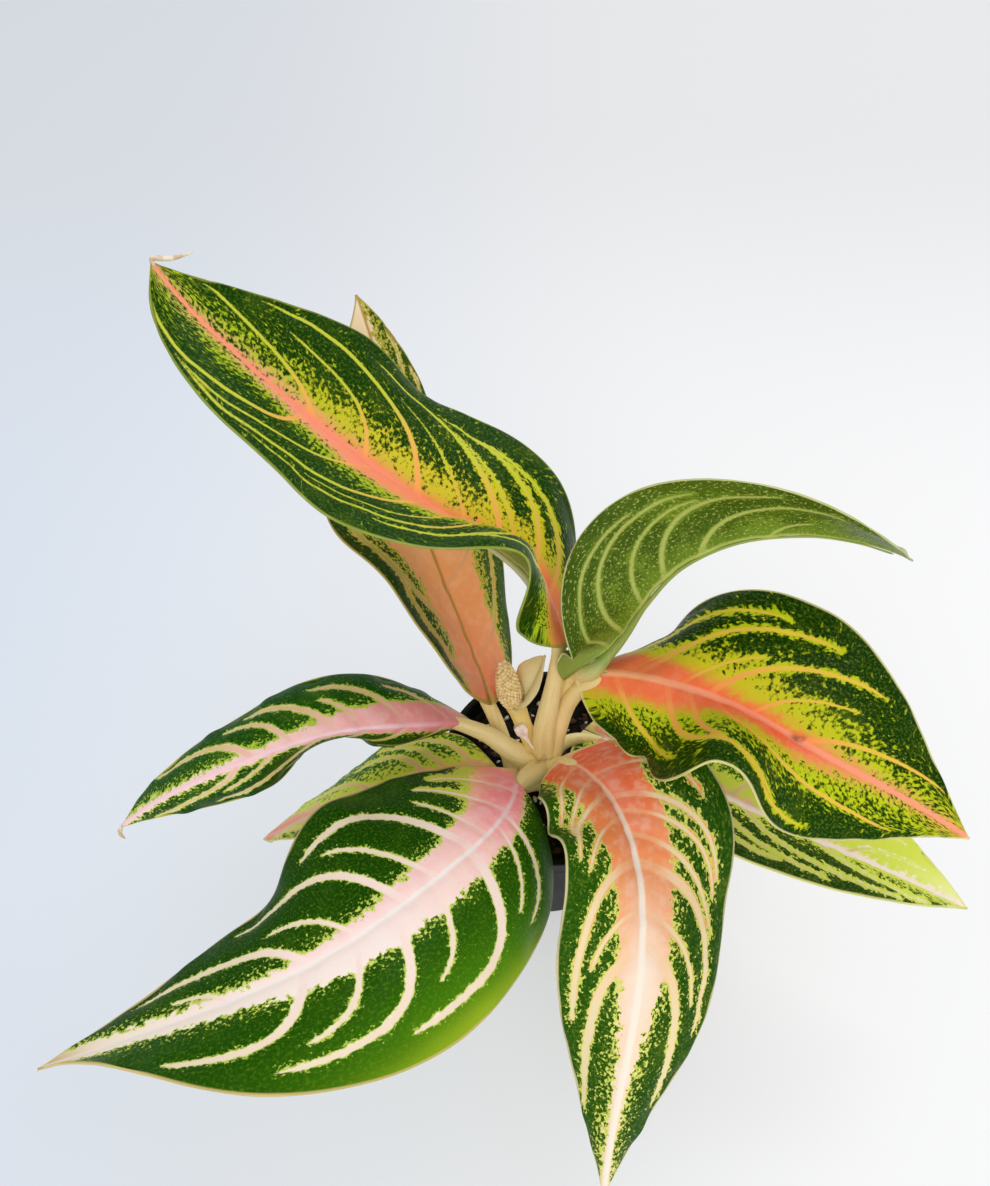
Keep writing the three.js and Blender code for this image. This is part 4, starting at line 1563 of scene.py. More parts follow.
@dataclass
class Soil:
    """The potting mix with its crumbly top, perlite grains and bark chips."""

    surface: float = 78
    relief: float = 1.1
    coarse_crumb: float = 1.1
    fine_crumb: float = 0.7
    top_radius: float = 45.5
    bottom_radius: float = 36.5
    bottom: float = 2.3
    shoulder: float = 75
    rings: int = 46
    steps: int = 200
    perlite_count: int = 90
    bark_count: int = 110
    seed: int = 11

    def height(self, x: float, y: float) -> float:
        """Height of the mix's top at a place, in millimetres."""
        waves = math.sin(0.31 * x + 1.1) * math.cos(0.27 * y) + math.sin(0.52 * y - 0.33 * x)
        return self.surface + self.relief * waves / 2

    def crumbs(self, x: float, y: float) -> float:
        """Crumbs on the top.

        Args:
            x: Millimetres to the right of the pot's axis.
            y: Millimetres behind it.

        Returns:
            How far they stand off the top, in millimetres.
        """
        coarse = noise.noise(Vector((x, y, 0)) * 0.32)
        fine = noise.noise(Vector((x, y, 5)) * 0.85)
        return self.coarse_crumb * coarse + self.fine_crumb * fine

    def body(self) -> bpy.types.Object:
        """The mix itself, with its crumbly top.

        Returns:
            The mix.
        """
        inner = [(self.top_radius * (1 - i / self.rings), self.surface) for i in range(self.rings + 1)]
        outer = [(0, self.bottom), (self.bottom_radius, self.bottom), (self.top_radius, self.shoulder)]
        profile = [*outer, *inner]
        mesh = spun_mesh("mix_bed", profile, self.steps)
        for vert in mesh.vertices:
            x, y, z = (c / MM for c in vert.co)
            if z > self.surface - 0.01:
                edge = min(1.0, (self.top_radius - math.hypot(x, y)) / 2)
                vert.co.z = (self.height(x, y) + edge * self.crumbs(x, y)) * MM
        return new_piece("mix_bed", mesh, [PottingMix().material()])

    def scatter(
        self, name: str, count: int, sizes: Pair, flat: Pair, finish: PlainFinish, rough: float
    ) -> bpy.types.Object:
        """Grains or chips bedded in the top.

        Args:
            name: The piece's name.
            count: How many.
            sizes: Smallest and largest radius, in millimetres.
            flat: Smallest and largest height as a share of the radius.
            finish: The finish.
            rough: How far each grain departs from round, as a share of its radius.

        Returns:
            The piece.
        """
        draw = random.Random(f"{name}{self.seed}")
        bm = bmesh.new()
        for _ in range(count):
            ring = math.sqrt(draw.uniform(0.06, 0.9)) * self.top_radius
            angle = draw.uniform(0, 2 * math.pi)
            size = draw.uniform(*sizes)
            x, y = ring * math.cos(angle), ring * math.sin(angle)
            turn = Matrix.Rotation(draw.uniform(0, 6.3), 4, "Z") @ Matrix.Rotation(
                draw.uniform(-0.5, 0.5), 4, "X"
            )
            stretch = Matrix.Diagonal((1, draw.uniform(0.5, 1), draw.uniform(*flat), 1))
            spot = Vector((x, y, self.height(x, y) + 0.25 * size)) * MM
            made = bmesh.ops.create_icosphere(bm, subdivisions=2, radius=size * MM)["verts"]
            for vert in made:
                lump = noise.noise(vert.co.normalized() * 1.7 + Vector((x, y, size)))
                vert.co *= 1 + rough * lump
            bmesh.ops.transform(bm, matrix=Matrix.Translation(spot) @ turn @ stretch, verts=made)
        return new_piece(name, mesh_of(bm, name), [finish.material()])

    def build(self) -> list[bpy.types.Object]:
        """Builds the mix and what lies in it.

        Returns:
            The mix, the perlite and the bark.
        """
        # Perlite is a popped glassy rock, off-white and matt. The bark is dark, damp and fibrous.
        perlite = PlainFinish("Expanded perlite", "#e6e3da", "#b9b2a2", 0.8, 0.9, 0.2)
        bark = PlainFinish("Composted bark chips", "#2a1c10", "#4d3520", 1.5, 0.9, 0.3)
        return [
            self.body(),
            self.scatter("perlite", self.perlite_count, (0.9, 2.1), (0.7, 1), perlite, 0.5),
            self.scatter("bark_chips", self.bark_count, (1.0, 3.0), (0.25, 0.5), bark, 0.6),
        ]


# The nine leaves --------------------------------------------------------------


@dataclass(frozen=True)
class Leaf:
    """A blade and its petiole, as they stand on the plant."""

    name: str
    shape: BladeShape
    stalk: tuple[Point, ...]
    stalk_radii: tuple[float, ...]
    pattern: Pattern
    dried_tip: tuple[Point, ...] = ()

    def tip(self) -> bpy.types.Object:
        """The dried thread that hangs from the blade's tip.

        Returns:
            The thread.
        """
        end = self.shape.midrib()[0][-1]
        path = [tuple(end + np.array(step)) for step in self.dried_tip]
        mesh = swept_mesh(f"dried_tip_{self.name}", path, (0.7, 1.1, 0.8, 0.3), 12, 24)
        # Dead tissue: papery, cream to straw.
        skin = PlainFinish("Dried leaf tip", "#f2e6d2", "#d2b48c", 3.0, 0.6)
        return new_piece(f"dried_tip_{self.name}", mesh, [skin.material()])


UPPER_LEFT = Leaf(
    "upper_left",
    BladeShape(
        base=(-2, 10, 192),
        length=209,
        half_width=(57, 56),
        heading=(121, 162, 158, 165, 126),
        climb=(32, 30, 31, 45, 18),
        roll=(12, 2, -3),
        fold_left=(68, 76, 45, 24, 13),
        fold_right=(-29, 26, 21, 27, 13),
        curl_left=(82, 15, 18),
        curl_right=(40, 26, 16),
        ruffles=(Ruffle(-1, 0.47, 0.094, -14),),
    ),
    ((-4.5, -2, 103), (-4.5, 0.5, 119), (-1, 7, 152), (-0.5, 7, 175)),
    (6.5, 4.8, 3.6, 3.2, 3),
    Pattern(
        veins=(
            Vein(0.08, 52, 0.05, 0.3, 1.8),
            Vein(0.16, 53, 0.05, 0.42, 1.8),
            Vein(0.22, 46, 0.05, 0.72, 1.4),
            Vein(0.28, 39.5, 0.04, 0.58, 0.9),
            Vein(0.335, 35, 0.05, 0.84, 1.8),
            Vein(0.455, 27, 0.07, 0.83, 1.4),
            Vein(0.62, 20, 0.028, 0.93, 1.8),
            Vein(0.035, -48, 0.1, 0.4, 1.4),
            Vein(0.085, -52, 0.12, 0.4, 1.6),
            Vein(0.135, -55, 0.17, 0.36, 0.9),
            Vein(0.17, -55, 0.16, 0.57, 2.0),
            Vein(0.25, -48, 0.17, 0.49, 1.0),
            Vein(0.36, -37, 0.09, 0.81, 2.2),
            Vein(0.48, -22.5, 0.05, 0.73, 1.4),
            Vein(0.6, -12.5, 0.06, 0.91, 1.6),
        ),
        open_left=(17, 27, 18, 6, 1),
        open_right=(14, 5, 3.5, 3.5, 1),
        ground=("#f88a50", "#ff9460", "#ff9470", "#ffa58a", "#e89a76"),
        dark=("#0f3a02", "#0f3802"),
        cover=(0.45, 0.7),
        fleck_vein=7,
        streaks=True,
        rib_root="#f8a060",
        rib_width=(1.4, 1.3, 0.6),
        washes=(
            Wash(Layer.DEEP, (0.85, 0), (80, 60), strength=6),
            Wash(Layer.SPECKLED, (0.2, -30), (55, 26), strength=0.04),
            Wash(Layer.SPECKLED, (0.42, -14), (60, 12), strength=0.05),
            Wash(Layer.DEEP, (0.15, -22), (50, 16), strength=-1),
            Wash(Layer.SPECKLED, (0.62, -10), (70, 22), strength=0.07),
            Wash(Layer.SPECKLED, (0.55, 20), (70, 24), strength=0.05),
            Wash(Layer.LIME, (0.22, -20), (60, 22), "#d8cc22", 0.8),
            Wash(Layer.LIME, (0.4, -10), (60, 12), "#e0c83a", 0.6),
        ),
        clump=0.3,
        fleck_mm=1.6,
        fleck_blur=0.2,
        lime="#a9c01e",
        fleck="#8fab2c",
        vein_root="#ffac60",
        vein_end="#c8cc40",
        rib="#ff9a7a",
        margin="#8f9a3c",
        margin_mm=0.5,
        lime_left=1.0,
        lime_right=1.0,
        lime_vein=0.9,
        jag=1.2,
        fleck_reach=17,
        blend_mm=10,
        vein_gap=-0.8,
        under="#7f8a3a",
        under_dark="#4f6a1e",
        under_vein="#b9b060",
    ),
    ((1.4, -1.8, -0.6), (0.4, 0.3, 1.2), (7.5, 1, 0.8), (15, 4.5, 1.2)),
)

REAR = Leaf(
    "rear",
    BladeShape(
        base=(-33, 16.5, 136),
        length=182,
        half_width=(45, 43),
        heading=(112, 117, 113, 109, 120),
        climb=(27, 30, 40, 46, 48),
        roll=(28, 19, 13),
        fold_left=(25, 29, 32, -6, 6),
        fold_right=(-6, 3, 18, -9, 8),
        curl_left=(-10, 32, 13),
        curl_right=(29, 45, 11),
    ),
    ((-7, -5, 86), (-17.5, -5, 87), (-20.5, 0.5, 93), (-26, 11, 106), (-31.5, 16, 120)),
    (4.6, 3.8, 3.6, 3.4, 3.3, 3.2),
    Pattern(
        veins=(
            Vein(0.0, 40, 0.08, 0.5, 2.0),
            Vein(0.12, 44, 0.12, 0.6, 1.8),
            Vein(0.4, 30, 0.1, 0.8, 1.6),
            Vein(0.6, 18, 0.07, 0.9, 1.6),
            Vein(0.05, -38, 0.1, 0.4, 1.6),
            Vein(0.25, -36, 0.1, 0.6, 1.8),
            Vein(0.45, -26, 0.1, 0.8, 1.6),
            Vein(0.65, -14, 0.07, 0.9, 1.4),
        ),
        open_left=(20, 22, 29, 20, 20),
        open_right=(24, 20, 20, 8, 0),
        # The salmon ground is painted lighter than the leaf's own: partly its own tone, partly painted light
        # that makes up for the shade of the upper left leaf over it.
        ground=("#f29468", "#f09a5c", "#f4ae6c", "#f8cc90", "#f8e8c0"),
        dark=("#24400a", "#2c4c0c"),
        cover=(0.5, 0.68),
        fleck_reach=10,
        fleck_vein=4,
        rib_root="#b98a48",
        under_root="#d8b080",
        fleck_blur=0.12,
        feather="#f8c49c",
        lime="#b8b040",
        fleck="#8d9a3c",
        vein_root="#dfa07a",
        vein_end="#b9a95a",
        rib="#b98a48",
        margin="#b5a050",
        margin_mm=0.4,
        lime_left=1.5,
        lime_right=2.0,
        lime_vein=0.7,
        jag=1.3,
    ),
)

UPPER_RIGHT = Leaf(
    "upper_right",
    BladeShape(
        base=(12, 8, 159),
        length=169,
        half_width=(36, 41),
        heading=(21, 13, -2, -3, 10),
        climb=(36, 69, 43, 0, -42),
        roll=(-46, -37, -23),
        fold_left=(24, 36, 30, 20, 26),
        fold_right=(61, 40, 70, 55, 14),
        curl_left=(42, 35, 23),
        curl_right=(55, 16, 28),
    ),
    ((-2, 0, 102), (3, 9, 124), (7.5, 12, 146)),
    (6, 4.8, 4, 3.8),
    Pattern(
        veins=(
            Vein(0.05, 40, 0.1, 0.3, 1.05),
            Vein(0.14, 40, 0.1, 0.4, 1.05),
            Vein(0.24, 38, 0.1, 0.45, 1.05),
            Vein(0.36, 34, 0.08, 0.6, 1.2),
            Vein(0.48, 18, 0.07, 0.8, 1.2),
            Vein(0.62, 10, 0.06, 0.75, 0.75),
            Vein(0.08, -38, 0.08, 0.42, 1.2),
            Vein(0.14, -36, 0.13, 0.52, 1.2),
            Vein(0.25, -32, 0.14, 0.52, 0.9),
            Vein(0.35, -34, 0.14, 0.64, 1.2),
            Vein(0.46, -24, 0.12, 0.74, 1.05),
            Vein(0.62, -12, 0.06, 0.7, 0.75),
        ),
        open_left=(8, 6, 5, 4, 2),
        open_right=(8, 6, 5, 4, 2),
        ground=("#eeb06c", "#f0a35c", "#f0a57a", "#f2b08a", "#e0b27a"),
        dark=("#1c4c04", "#1c4c04"),
        cover=(0.44, 0.72),
        fleck_reach=24,
        fleck_vein=7,
        streaks=True,
        blend_mm=6,
        # The pale green at the base of the underside, which its petiole's keel takes too, is partly the
        # leaf's own tone and partly a painted highlight of the glossy base.
        under_root="#93a84e",
        clump=0.2,
        fleck_mm=1.4,
        lime="#a3b92b",
        fleck="#8fab2c",
        vein_root="#f2a273",
        vein_end="#a9b83a",
        rib="#f3b292",
        margin="#c9c98a",
        margin_mm=0.5,
        lime_left=3,
        lime_right=3,
        lime_vein=0.8,
        jag=1.5,
        under="#6f8a22",
        under_dark="#3c5608",
        under_vein="#c0c868",
    ),
)

RIGHT = Leaf(
    "right",
    BladeShape(
        base=(21, 3.2, 160),
        length=166,
        half_width=(53, 43),
        heading=(-26, -19, -26, -22, -28),
        climb=(30, -3, -15, -17, -21),
        roll=(1, 2, 0),
        fold_left=(-1, -1, 36, 41, 11),
        fold_right=(-41, -22, 41, -2, -28),
        curl_left=(69, 1, 22),
        curl_right=(31, 30, 43),
        lobe_reach=0.11,
        ruffles=(
            Ruffle(1, 0.2, 0.08, 6),
            Ruffle(1, 0.42, 0.1, -4),
            Ruffle(-1, 0.19, 0.04, -17),
            Ruffle(-1, 0.3, 0.036, 8),
        ),
    ),
    ((-3, -3, 99), (3.5, 6, 123), (9, 6.5, 140), (16.5, 4, 151.5)),
    (6.5, 5, 4.1, 3.6, 3.1),
    Pattern(
        veins=(
            Vein(0.0, 52, 0.14, 0.37, 1.6),
            Vein(0.08, 56, 0.25, 0.49, 2.0),
            Vein(0.05, 46, 0.22, 0.2, 1.0),
            Vein(0.19, 48, 0.24, 0.36, 1.2),
            Vein(0.265, 39, 0.15, 0.66, 2.0),
            Vein(0.38, 24, 0.09, 0.61, 1.2),
            Vein(0.52, 12.5, 0.09, 0.9, 2.0),
            Vein(0.02, -50, 0.2, 0.24, 1.8),
            Vein(0.16, -36, 0.09, 0.5, 1.8),
            Vein(0.22, -42, 0.09, 0.6, 1.4),
            Vein(0.29, -16, 0.03, 0.82, 2.0),
        ),
        open_left=(14, 7, 5, 3, 2),
        open_right=(8, 10, 11, 3.5, 2.5),
        # Ground and rib are painted lighter than the leaf's own orange: partly its own tone, partly painted
        # light that makes up for the dimmer light that falls on it.
        ground=("#ff7e4a", "#fd7a4a", "#fb6e48", "#ff886c", "#f09a54"),
        dark=("#103402", "#113a02"),
        cover=(0.42, 0.68),
        fleck_reach=20,
        fleck_vein=6,
        streaks=True,
        blend_mm=10,
        vein_gap=-0.5,
        rib_root="#ffb27c",
        rib_width=(1.5, 1.6, 1.0),
        clump=0.3,
        under_root="#bfb65c",
        fleck_mm=1.6,
        fleck_blur=0.2,
        lime="#c0cc1c",
        fleck="#9fb82c",
        vein_root="#ff9a58",
        vein_end="#eec24a",
        rib="#ffa27e",
        margin="#e6df9a",
        margin_mm=0.6,
        lime_left=3.5,
        lime_right=2.5,
        lime_vein=0.9,
        jag=1.2,
        washes=(
            Wash(Layer.DEEP, (0.9, 8), (45, 20), strength=7),
            Wash(Layer.OPEN, (0.1, 4), (22, 14), strength=-6),
            Wash(Layer.SPECKLED, (0.3, 12), (40, 14), strength=0.08),
            Wash(Layer.LIME, (0.25, 10), (50, 12), "#e0c42c", 0.6),
            Wash(Layer.DRIED, (0.505, 0.5), (2.2, 1.2), strength=0.9),
            Wash(Layer.DRIED, (0.52, 1.6), (1.0, 1.4), strength=0.8),
        ),
        under="#a8a04a",
        under_dark="#7d8a30",
        under_vein="#d8c878",
    ),
)

LOWER_RIGHT = Leaf(
    "lower_right",
    BladeShape(
        base=(26, 12, 91),
        length=184,
        half_width=(41, 39),
        heading=(-40, -33, -27, -19, -15),
        climb=(20, 4, -5, -14, -26),
        roll=(-11, -8, -5),
        fold_left=(24, 24, 24, 28, 29),
        fold_right=(10, 16, 26, 29, 28),
        curl_left=(20, 24, 8),
        curl_right=(15, 17, 11),
    ),
    ((-4, -3, 84), (4, 8, 91), (13, 11.5, 92)),
    (5, 3.4, 2.8, 2.6),
    Pattern(
        veins=(
            Vein(0.07, 38, 0.12, 0.4, 1.4),
            Vein(0.2, 36, 0.1, 0.55, 1.6),
            Vein(0.35, 28, 0.08, 0.66, 1.6),
            Vein(0.5, 16, 0.06, 0.8, 1.2),
            Vein(0.66, 8, 0.04, 0.86, 1.2),
            Vein(0.08, -36, 0.12, 0.36, 1.4),
            Vein(0.2, -36, 0.12, 0.5, 1.4),
            Vein(0.3, -31, 0.1, 0.6, 1.4),
            Vein(0.4, -21, 0.06, 0.78, 1.4),
            Vein(0.58, -13, 0.06, 0.86, 1.2),
        ),
        open_left=(6, 5, 3, 2.5, 3),
        open_right=(6, 5, 3, 2, 2),
        ground=("#e9896c", "#f0a080", "#f4c4ae", "#f8e2d4", "#f4ecc8"),
        dark=("#356606", "#1f4202"),
        cover=(0.46, 0.72),
        fleck_reach=14,
        fleck_vein=6,
        streaks=True,
        blend_mm=3,
        rib_root="#f3d8c8",
        rib_width=(1.2, 1.4, 0.9),
        clump=0.2,
        fleck_blur=0.14,
        lime="#d3de52",
        fleck="#a8c044",
        vein_root="#d9c484",
        vein_end="#d6e05c",
        rib="#f9e9e0",
        margin="#e3dd8a",
        lime_left=6,
        lime_right=1.2,
        lime_vein=1.1,
        jag=1.3,
        washes=(
            Wash(Layer.DEEP, (0.85, 8), (50, 12), strength=-9),
            Wash(Layer.LIME, (0.97, 4), (22, 6), "#eef0a0", 0.8),
        ),
    ),
)

FRONT = Leaf(
    "front",
    BladeShape(
        base=(10, -18, 117),
        length=198,
        half_width=(46, 36),
        heading=(-53, -73, -95, -105, -93),
        climb=(34, 2, -19, -41, -65),
        roll=(-6, -6, 0),
        fold_left=(6, 36, -11, -20, -31),
        fold_right=(16, 37, 30, -2, -29),
        curl_left=(12, 31, 30),
        curl_right=(50, 11, 55),
        ruffles=(Ruffle(-1, 0.2, 0.045, -13),),
    ),
    ((-3, -5, 94), (2, -10, 104), (7, -15, 112)),
    (5.5, 4.4, 3.6, 3.4),
    Pattern(
        veins=(
            Vein(0.05, 70, 0.2, 0.22, 1.2),
            Vein(0.13, 70, 0.2, 0.33, 2.0),
            Vein(0.17, 70, 0.2, 0.36, 1.4),
            Vein(0.225, 60, 0.17, 0.42, 1.8),
            Vein(0.29, 41, 0.075, 0.62, 3.4),
            Vein(0.385, 30, 0.06, 0.56, 1.8),
            Vein(0.45, 21, 0.055, 0.79, 3.6),
            Vein(0.0, -60, 0.25, 0.2, 1.2),
            Vein(0.06, -50, 0.2, 0.24, 1.2),
            Vein(0.12, -45, 0.13, 0.3, 1.8),
            Vein(0.185, -32, 0.08, 0.32, 1.4),
            Vein(0.285, -28, 0.06, 0.63, 3.0),
            Vein(0.38, -22, 0.055, 0.51, 1.6),
            Vein(0.465, -17, 0.045, 0.81, 3.2),
        ),
        open_left=(23, 17, 13, 4, 2),
        open_right=(17, 17, 11, 4, 2),
        ground=("#f26e40", "#fb8e50", "#ffb074", "#ffe2c2", "#f6d49a"),
        dark=("#1f4c04", "#235203"),
        cover=(0.53, 0.71),
        fleck_reach=11,
        fleck_vein=2.5,
        rib_root="#ffb890",
        rib_width=(0.8, 1.5, 1.1),
        fleck_blur=0.12,
        fleck_mm=1.4,
        lime="#dce068",
        fleck="#9fb83c",
        vein_root="#fbcfa2",
        vein_end="#f4e0b0",
        rib="#fff0de",
        margin="#e9dca0",
        lime_left=0.9,
        lime_right=0.9,
        lime_vein=0.45,
        jag=1.3,
        washes=(
            Wash(Layer.GROUND, (0.12, 7), (22, 9), "#f87048", 0.8),
            Wash(Layer.GROUND, (0.52, 1), (26, 10), "#fbefdc", 0.8),
        ),
        under="#b9b67e",
        under_dark="#8f9a4c",
        under_vein="#d6d09c",
    ),
)

FRONT_LEFT = Leaf(
    "front_left",
    BladeShape(
        base=(-18, -32, 126),
        length=228,
        half_width=(52, 55),
        heading=(-94, -126, -140, -163, -163),
        climb=(38, 21, 7, -13, -5),
        roll=(-3, 5, 25),
        fold_left=(-22, -6, 3, 17, 30),
        fold_right=(17, 7, 5, 3, -5),
        curl_left=(85, 50, -25),
        curl_right=(26, 31, 22),
        ruffles=(Ruffle(-1, 0.38, 0.08, 6), Ruffle(-1, 0.6, 0.09, -6)),
    ),
    ((-6, -6, 96), (-10, -14, 104), (-14, -22, 113)),
    (6, 4.6, 3.8, 3.4),
    Pattern(
        veins=(
            Vein(0.115, 60, 0.09, 0.225, 1.8),
            Vein(0.15, 50, 0.09, 0.24, 1.2),
            Vein(0.235, 44.5, 0.045, 0.49, 3.6),
            Vein(0.33, 34, 0.04, 0.42, 1.8),
            Vein(0.415, 37.5, 0.042, 0.64, 2.8),
            Vein(0.49, 29, 0.035, 0.6, 1.8),
            Vein(0.575, 24, 0.03, 0.785, 2.8),
            Vein(0.03, -50, 0.06, 0.12, 1.6),
            Vein(0.1, -50, 0.06, 0.19, 2.0),
            Vein(0.18, -45, 0.035, 0.225, 1.6),
            Vein(0.225, -51, 0.06, 0.485, 3.4),
            Vein(0.315, -46, 0.07, 0.44, 2.0),
            Vein(0.385, -36, 0.05, 0.69, 3.0),
            Vein(0.48, -22, 0.045, 0.62, 1.6),
            Vein(0.565, -17.5, 0.045, 0.86, 2.8),
            Vein(0.7, -8.5, 0.03, 0.79, 1.2),
        ),
        open_left=(4, 9, 12, 7, 6),
        open_right=(14, 12, 6.5, 4, 5),
        ground=("#ff8490", "#ffcabe", "#ffece4", "#fff0e2", "#fff0d2"),
        dark=("#1a4a00", "#144200"),
        cover=(0.56, 0.75),
        fleck_reach=8,
        fleck_vein=2.5,
        rib_root="#f7b9be",
        rib_width=(0.8, 0.9, 0.5),
        fleck_blur=0.14,
        lime="#c4d458",
        fleck="#7fa81e",
        vein_root="#ffe6dc",
        vein_end="#f4dfc4",
        rib="#faf0ea",
        margin="#d8c07a",
        lime_left=0.7,
        lime_right=1.0,
        lime_vein=0.38,
        jag=1.05,
        vein_gap=0.15,
        washes=(
            Wash(Layer.GROUND, (0.46, -8), (62, 7), "#f9c0bc", 0.75),
            Wash(Layer.GROUND, (0.08, -7), (22, 13), "#ff8694", 0.8),
            Wash(Layer.GROUND, (0.05, -30), (22, 13), "#ffd860", 1.0),
            Wash(Layer.GROUND, (0.13, -30), (16, 12), "#ffbe80", 0.7),
            Wash(Layer.OPEN, (0.05, -30), (26, 18), strength=-9),
            Wash(Layer.DEEP, (0.04, -30), (24, 18), strength=-5),
            Wash(Layer.LIME, (0.06, -28), (30, 16), "#cfd345", 1.0),
            Wash(Layer.DARK, (0.4, 42), (50, 16), "#4a8408", 0.8),
            Wash(Layer.DARK, (0.4, 51), (46, 7), "#9ab422", 0.9),
            Wash(Layer.LIME, (0.4, 50), (50, 12), "#a9bf2c", 0.9),
            Wash(Layer.GROUND, (1.0, 0), (14, 8), "#c9a24a", 0.9),
        ),
        under="#a9a868",
        under_dark="#7d8a48",
        under_vein="#cfc594",
    ),
)

LEFT = Leaf(
    "left",
    BladeShape(
        base=(-44, 2, 121),
        length=182,
        half_width=(37, 36),
        heading=(220, 197, 196, 187, 181),
        climb=(45, 20, -8, -31, -51),
        roll=(-21, -20, -20),
        fold_left=(-80, -67, -85, -57, -60),
        fold_right=(-4, -5, 1, -6, -3),
        curl_left=(50, 42, 24),
        curl_right=(47, 61, 21),
    ),
    ((-6, -4, 95), (-18, -4, 105.5), (-31, 0.5, 114)),
    (6.4, 5.2, 3.9, 2.9),
    Pattern(
        veins=(
            Vein(0.04, 30, 0.08, 0.2, 1.6),
            Vein(0.16, 30, 0.08, 0.3, 1.8),
            Vein(0.26, 30, 0.08, 0.5, 1.6),
            Vein(0.37, 22, 0.08, 0.72, 2.4),
            Vein(0.48, 15, 0.09, 0.67, 1.2),
            Vein(0.58, 9.5, 0.045, 0.9, 1.6),
            Vein(0.03, -30, 0.1, 0.2, 1.4),
            Vein(0.16, -32, 0.11, 0.38, 2.4),
            Vein(0.27, -26, 0.08, 0.36, 1.4),
            Vein(0.33, -30, 0.11, 0.56, 2.4),
            Vein(0.44, -21, 0.06, 0.62, 1.4),
            Vein(0.54, -15, 0.06, 0.84, 2.2),
        ),
        open_left=(4, 5, 3, 2, 1.5),
        open_right=(12, 12, 5, 2.5, 1.5),
        ground=("#f08a90", "#faa2a2", "#ffccc2", "#ffdccc", "#fae0b0"),
        dark=("#0e4200", "#124a02"),
        cover=(0.56, 0.74),
        fleck_reach=8,
        rib_root="#f79aa8",
        rib_width=(1.2, 1.1, 0.6),
        fleck_blur=0.12,
        feather="#fff0e6",
        lime="#b4cc44",
        fleck="#7fa832",
        vein_root="#ffc4b8",
        vein_end="#e8c88a",
        rib="#ffd3da",
        margin="#c9c050",
        lime_left=0.8,
        lime_right=1.4,
        lime_vein=0.55,
        jag=1,
    ),
    ((0, 0, 0), (-1, -1, -2), (-1.2, -2, -4), (0.6, -3, -6.5)),
)

LOWER_LEFT = Leaf(
    "lower_left",
    BladeShape(
        base=(-33, -9, 99),
        length=131,
        half_width=(33, 34),
        heading=(205, 197, 190, 177, 170),
        climb=(36, 8, -22, -43, -53),
        roll=(17, 21, 19),
        fold_left=(24, 24, 24, 28, 23),
        fold_right=(24, 12, 10, 7, 8),
        curl_left=(20, 21, 13),
        curl_right=(27, 34, 16),
    ),
    ((-6, -7, 84.5), (-16, -12, 88), (-25, -12, 92.5)),
    (4.6, 3.6, 3.2, 3),
    Pattern(
        veins=(
            Vein(0.05, 30, 0.1, 0.3, 1.6),
            Vein(0.2, 28, 0.1, 0.5, 1.6),
            Vein(0.4, 18, 0.08, 0.8, 1.6),
            Vein(0.03, -36, 0.1, 0.3, 1.6),
            Vein(0.22, -22, 0.06, 0.5, 1.8),
            Vein(0.14, -34, 0.1, 0.4, 1.2),
            Vein(0.42, -14, 0.07, 0.8, 1.4),
        ),
        open_left=(10, 10, 8, 14, 20),
        open_right=(5, 4, 4, 6, 8),
        # The whole palette, ground, green, lime and veins, is painted lighter than the leaf's own: painted
        # light that makes up for the shade of the front left leaf above it.
        ground=("#ffc090", "#ffd880", "#ffe888", "#ffc0a0", "#ff8c78"),
        dark=("#2a6a06", "#2a6a06"),
        cover=(0.42, 0.58),
        fleck_reach=12,
        fleck_vein=4,
        fleck_mm=2.0,
        fleck_blur=0.16,
        clump=0.3,
        lime="#e2ee54",
        fleck="#a8bb3c",
        vein_root="#ffc8a0",
        vein_end="#ffd890",
        rib="#ffd8a0",
        margin="#d8cc6a",
        lime_left=2.5,
        lime_right=2.5,
        lime_vein=1,
        jag=1.3,
    ),
)

LEAVES = (UPPER_LEFT, REAR, UPPER_RIGHT, RIGHT, LOWER_RIGHT, FRONT, FRONT_LEFT, LEFT, LOWER_LEFT)


# Stage, light and camera ------------------------------------------------------


@dataclass(frozen=True)
class Lamp:
    """A square area light: its place and size in metres and its power in watts."""

    name: str
    place: Point
    size: float
    power: float


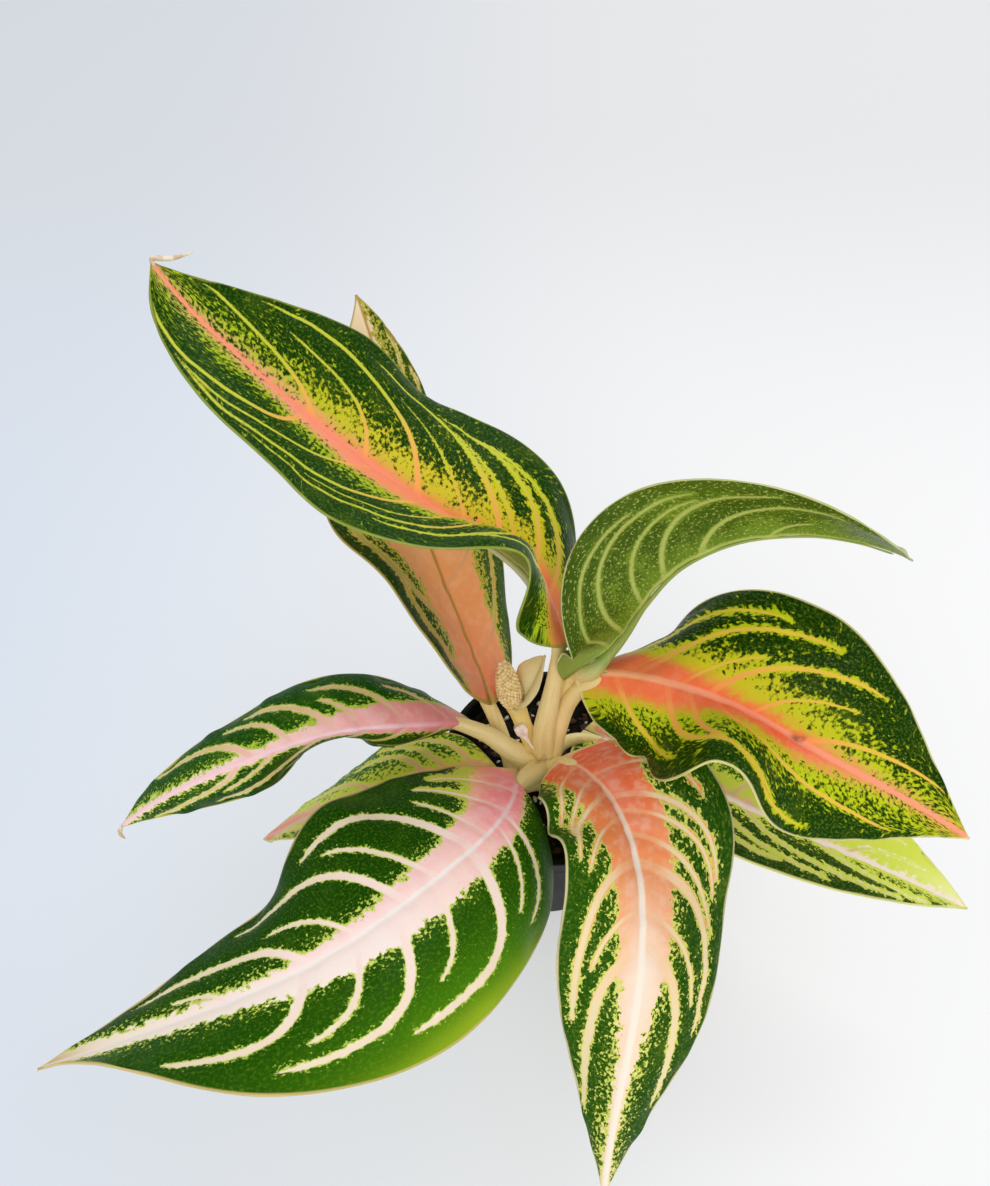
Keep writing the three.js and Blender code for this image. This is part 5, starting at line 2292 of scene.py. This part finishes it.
@dataclass
class Studio:
    """A pale floor that glows a little and carries painted shade, under soft daylight, and the camera."""

    # The floor's tones are painted shade: cooler and darker on the left, duller far off.
    floor_shaded_left: str = "#dbe3ee"
    floor_right: str = "#f8f8f8"
    floor_shaded_far: str = "#d6d8da"
    floor_size: float = 4
    floor_roughness: float = 0.9
    glow: float = 0.5
    sky: str = "#f6f7fa"
    sky_strength: float = 0.72
    lamps: tuple[Lamp, ...] = (
        Lamp("Window", (0.9, 1.3, 1.9), 1.0, 14),
        Lamp("Fill", (-0.1, -1.6, 1.4), 1.6, 15),
    )
    lamp_aim: Point = (0, 0, 0.15)
    camera_mm: Point = (-27.2, -253.9, 531.3)
    pitch: float = 51
    lens: float = 32
    sensor: float = 36

    def floor(self) -> None:
        """The floor: painted shade, cooler and darker on the left and duller far off, and a glow of its own.
        """
        bm = bmesh.new()
        bmesh.ops.create_grid(bm, x_segments=1, y_segments=1, size=self.floor_size)
        # Matt white board that glows by itself, which halves the shadows on it; its tones are painted shade.
        shading = Shading("Glowing matt white board")
        add = shading.add
        across, along, _ = add(Step.SPLIT, add(Step.PLACE)).node.outputs
        right = add(Step.EASE, across, -0.4, 0.15)
        colour = add(Step.BLEND, right, linear(self.floor_shaded_left), linear(self.floor_right))
        colour = add(Step.BLEND, add(Step.EASE, along, 0.15, 0.8, 0, 0.6), colour, linear(self.floor_shaded_far))
        matt = add(Step.BLEND, 1 - self.glow, linear("#000000"), colour)
        board = shading.finish(
            matt, self.floor_roughness, Emission_Color=colour, Emission_Strength=self.glow
        )
        new_piece("floor", mesh_of(bm, "floor"), [board])

    def lights(self) -> None:
        """An even sky with one broad window light from the upper right and a fill from the front."""
        world = bpy.data.worlds.new("Daylight")
        bpy.context.scene.world = world
        world.use_nodes = True
        background = world.node_tree.nodes["Background"]
        background.inputs["Color"].default_value = linear(self.sky)
        background.inputs["Strength"].default_value = self.sky_strength
        for lamp in self.lamps:
            area = bpy.data.lights.new(lamp.name, "AREA")
            area.size = lamp.size
            area.energy = lamp.power
            light = bpy.data.objects.new(lamp.name, area)
            light.location = lamp.place
            aim = Vector(self.lamp_aim) - Vector(lamp.place)
            light.rotation_euler = aim.to_track_quat("-Z", "Y").to_euler()
            bpy.context.scene.collection.objects.link(light)

    def camera(self) -> None:
        """A wide view from above the front, as the plant was seen."""
        eye = bpy.data.cameras.new("Camera")
        eye.sensor_fit = "VERTICAL"
        eye.sensor_height = self.sensor
        eye.sensor_width = self.sensor
        eye.lens = self.lens
        eye.clip_start = 0.01
        camera = bpy.data.objects.new("Camera", eye)
        camera.location = Vector(self.camera_mm) * MM
        camera.rotation_euler = (math.radians(90 - self.pitch), 0, 0)
        bpy.context.scene.collection.objects.link(camera)
        bpy.context.scene.camera = camera

    def build(self) -> None:
        """Sets the stage."""
        self.floor()
        self.lights()
        self.camera()
        bpy.context.scene.view_settings.view_transform = "Standard"
        bpy.context.scene.view_settings.look = "None"


def place_piece(piece: bpy.types.Object, slot: str, *nodes: str) -> None:
    """Rides a piece on the plant, hides the nodes it stands for, and logs which they are.

    Args:
        piece: The piece.
        slot: The material slot that it takes its finish from; not used.
        nodes: The nodes that it replaces, if any.
    """
    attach(piece, "root")
    if nodes:
        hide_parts(*nodes)
    LOG.info("%s stands for %s", piece.name, ", ".join(nodes) or "nothing in the frame")


def main() -> None:
    """Builds the plant, its pot and the studio."""
    logging.basicConfig(level=logging.INFO, format="%(name)s: %(message)s")
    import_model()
    place_piece(Pot().build(), "pot", "pot")
    mix, perlite, bark = Soil().build()
    place_piece(mix, "potting_mix", "potting_mix")
    place_piece(perlite, "potting_mix")
    place_piece(bark, "potting_mix")
    place_piece(Cane().build(), "cane", "stem")
    skin = PetioleSkin().material()
    for number, leaf in enumerate(LEAVES):
        keel = leaf.pattern.under_root
        petiole = Petiole(f"petiole_skin_{leaf.name}", leaf.stalk, leaf.stalk_radii, leaf.shape, keel)
        place_piece(petiole.build(skin), "petiole", f"petiole_{leaf.name}")
        blade = Blade(f"leaf_{leaf.name}", leaf.shape, leaf.pattern, seed=10.0 * number)
        place_piece(blade.build(), "leaf", f"blade_{leaf.name}")
        if leaf.dried_tip:
            place_piece(leaf.tip(), "leaf")
    for piece, node, slot in Flower().build(skin):
        place_piece(piece, slot, node)
    Studio().build()


if __name__ == "__main__":
    main()
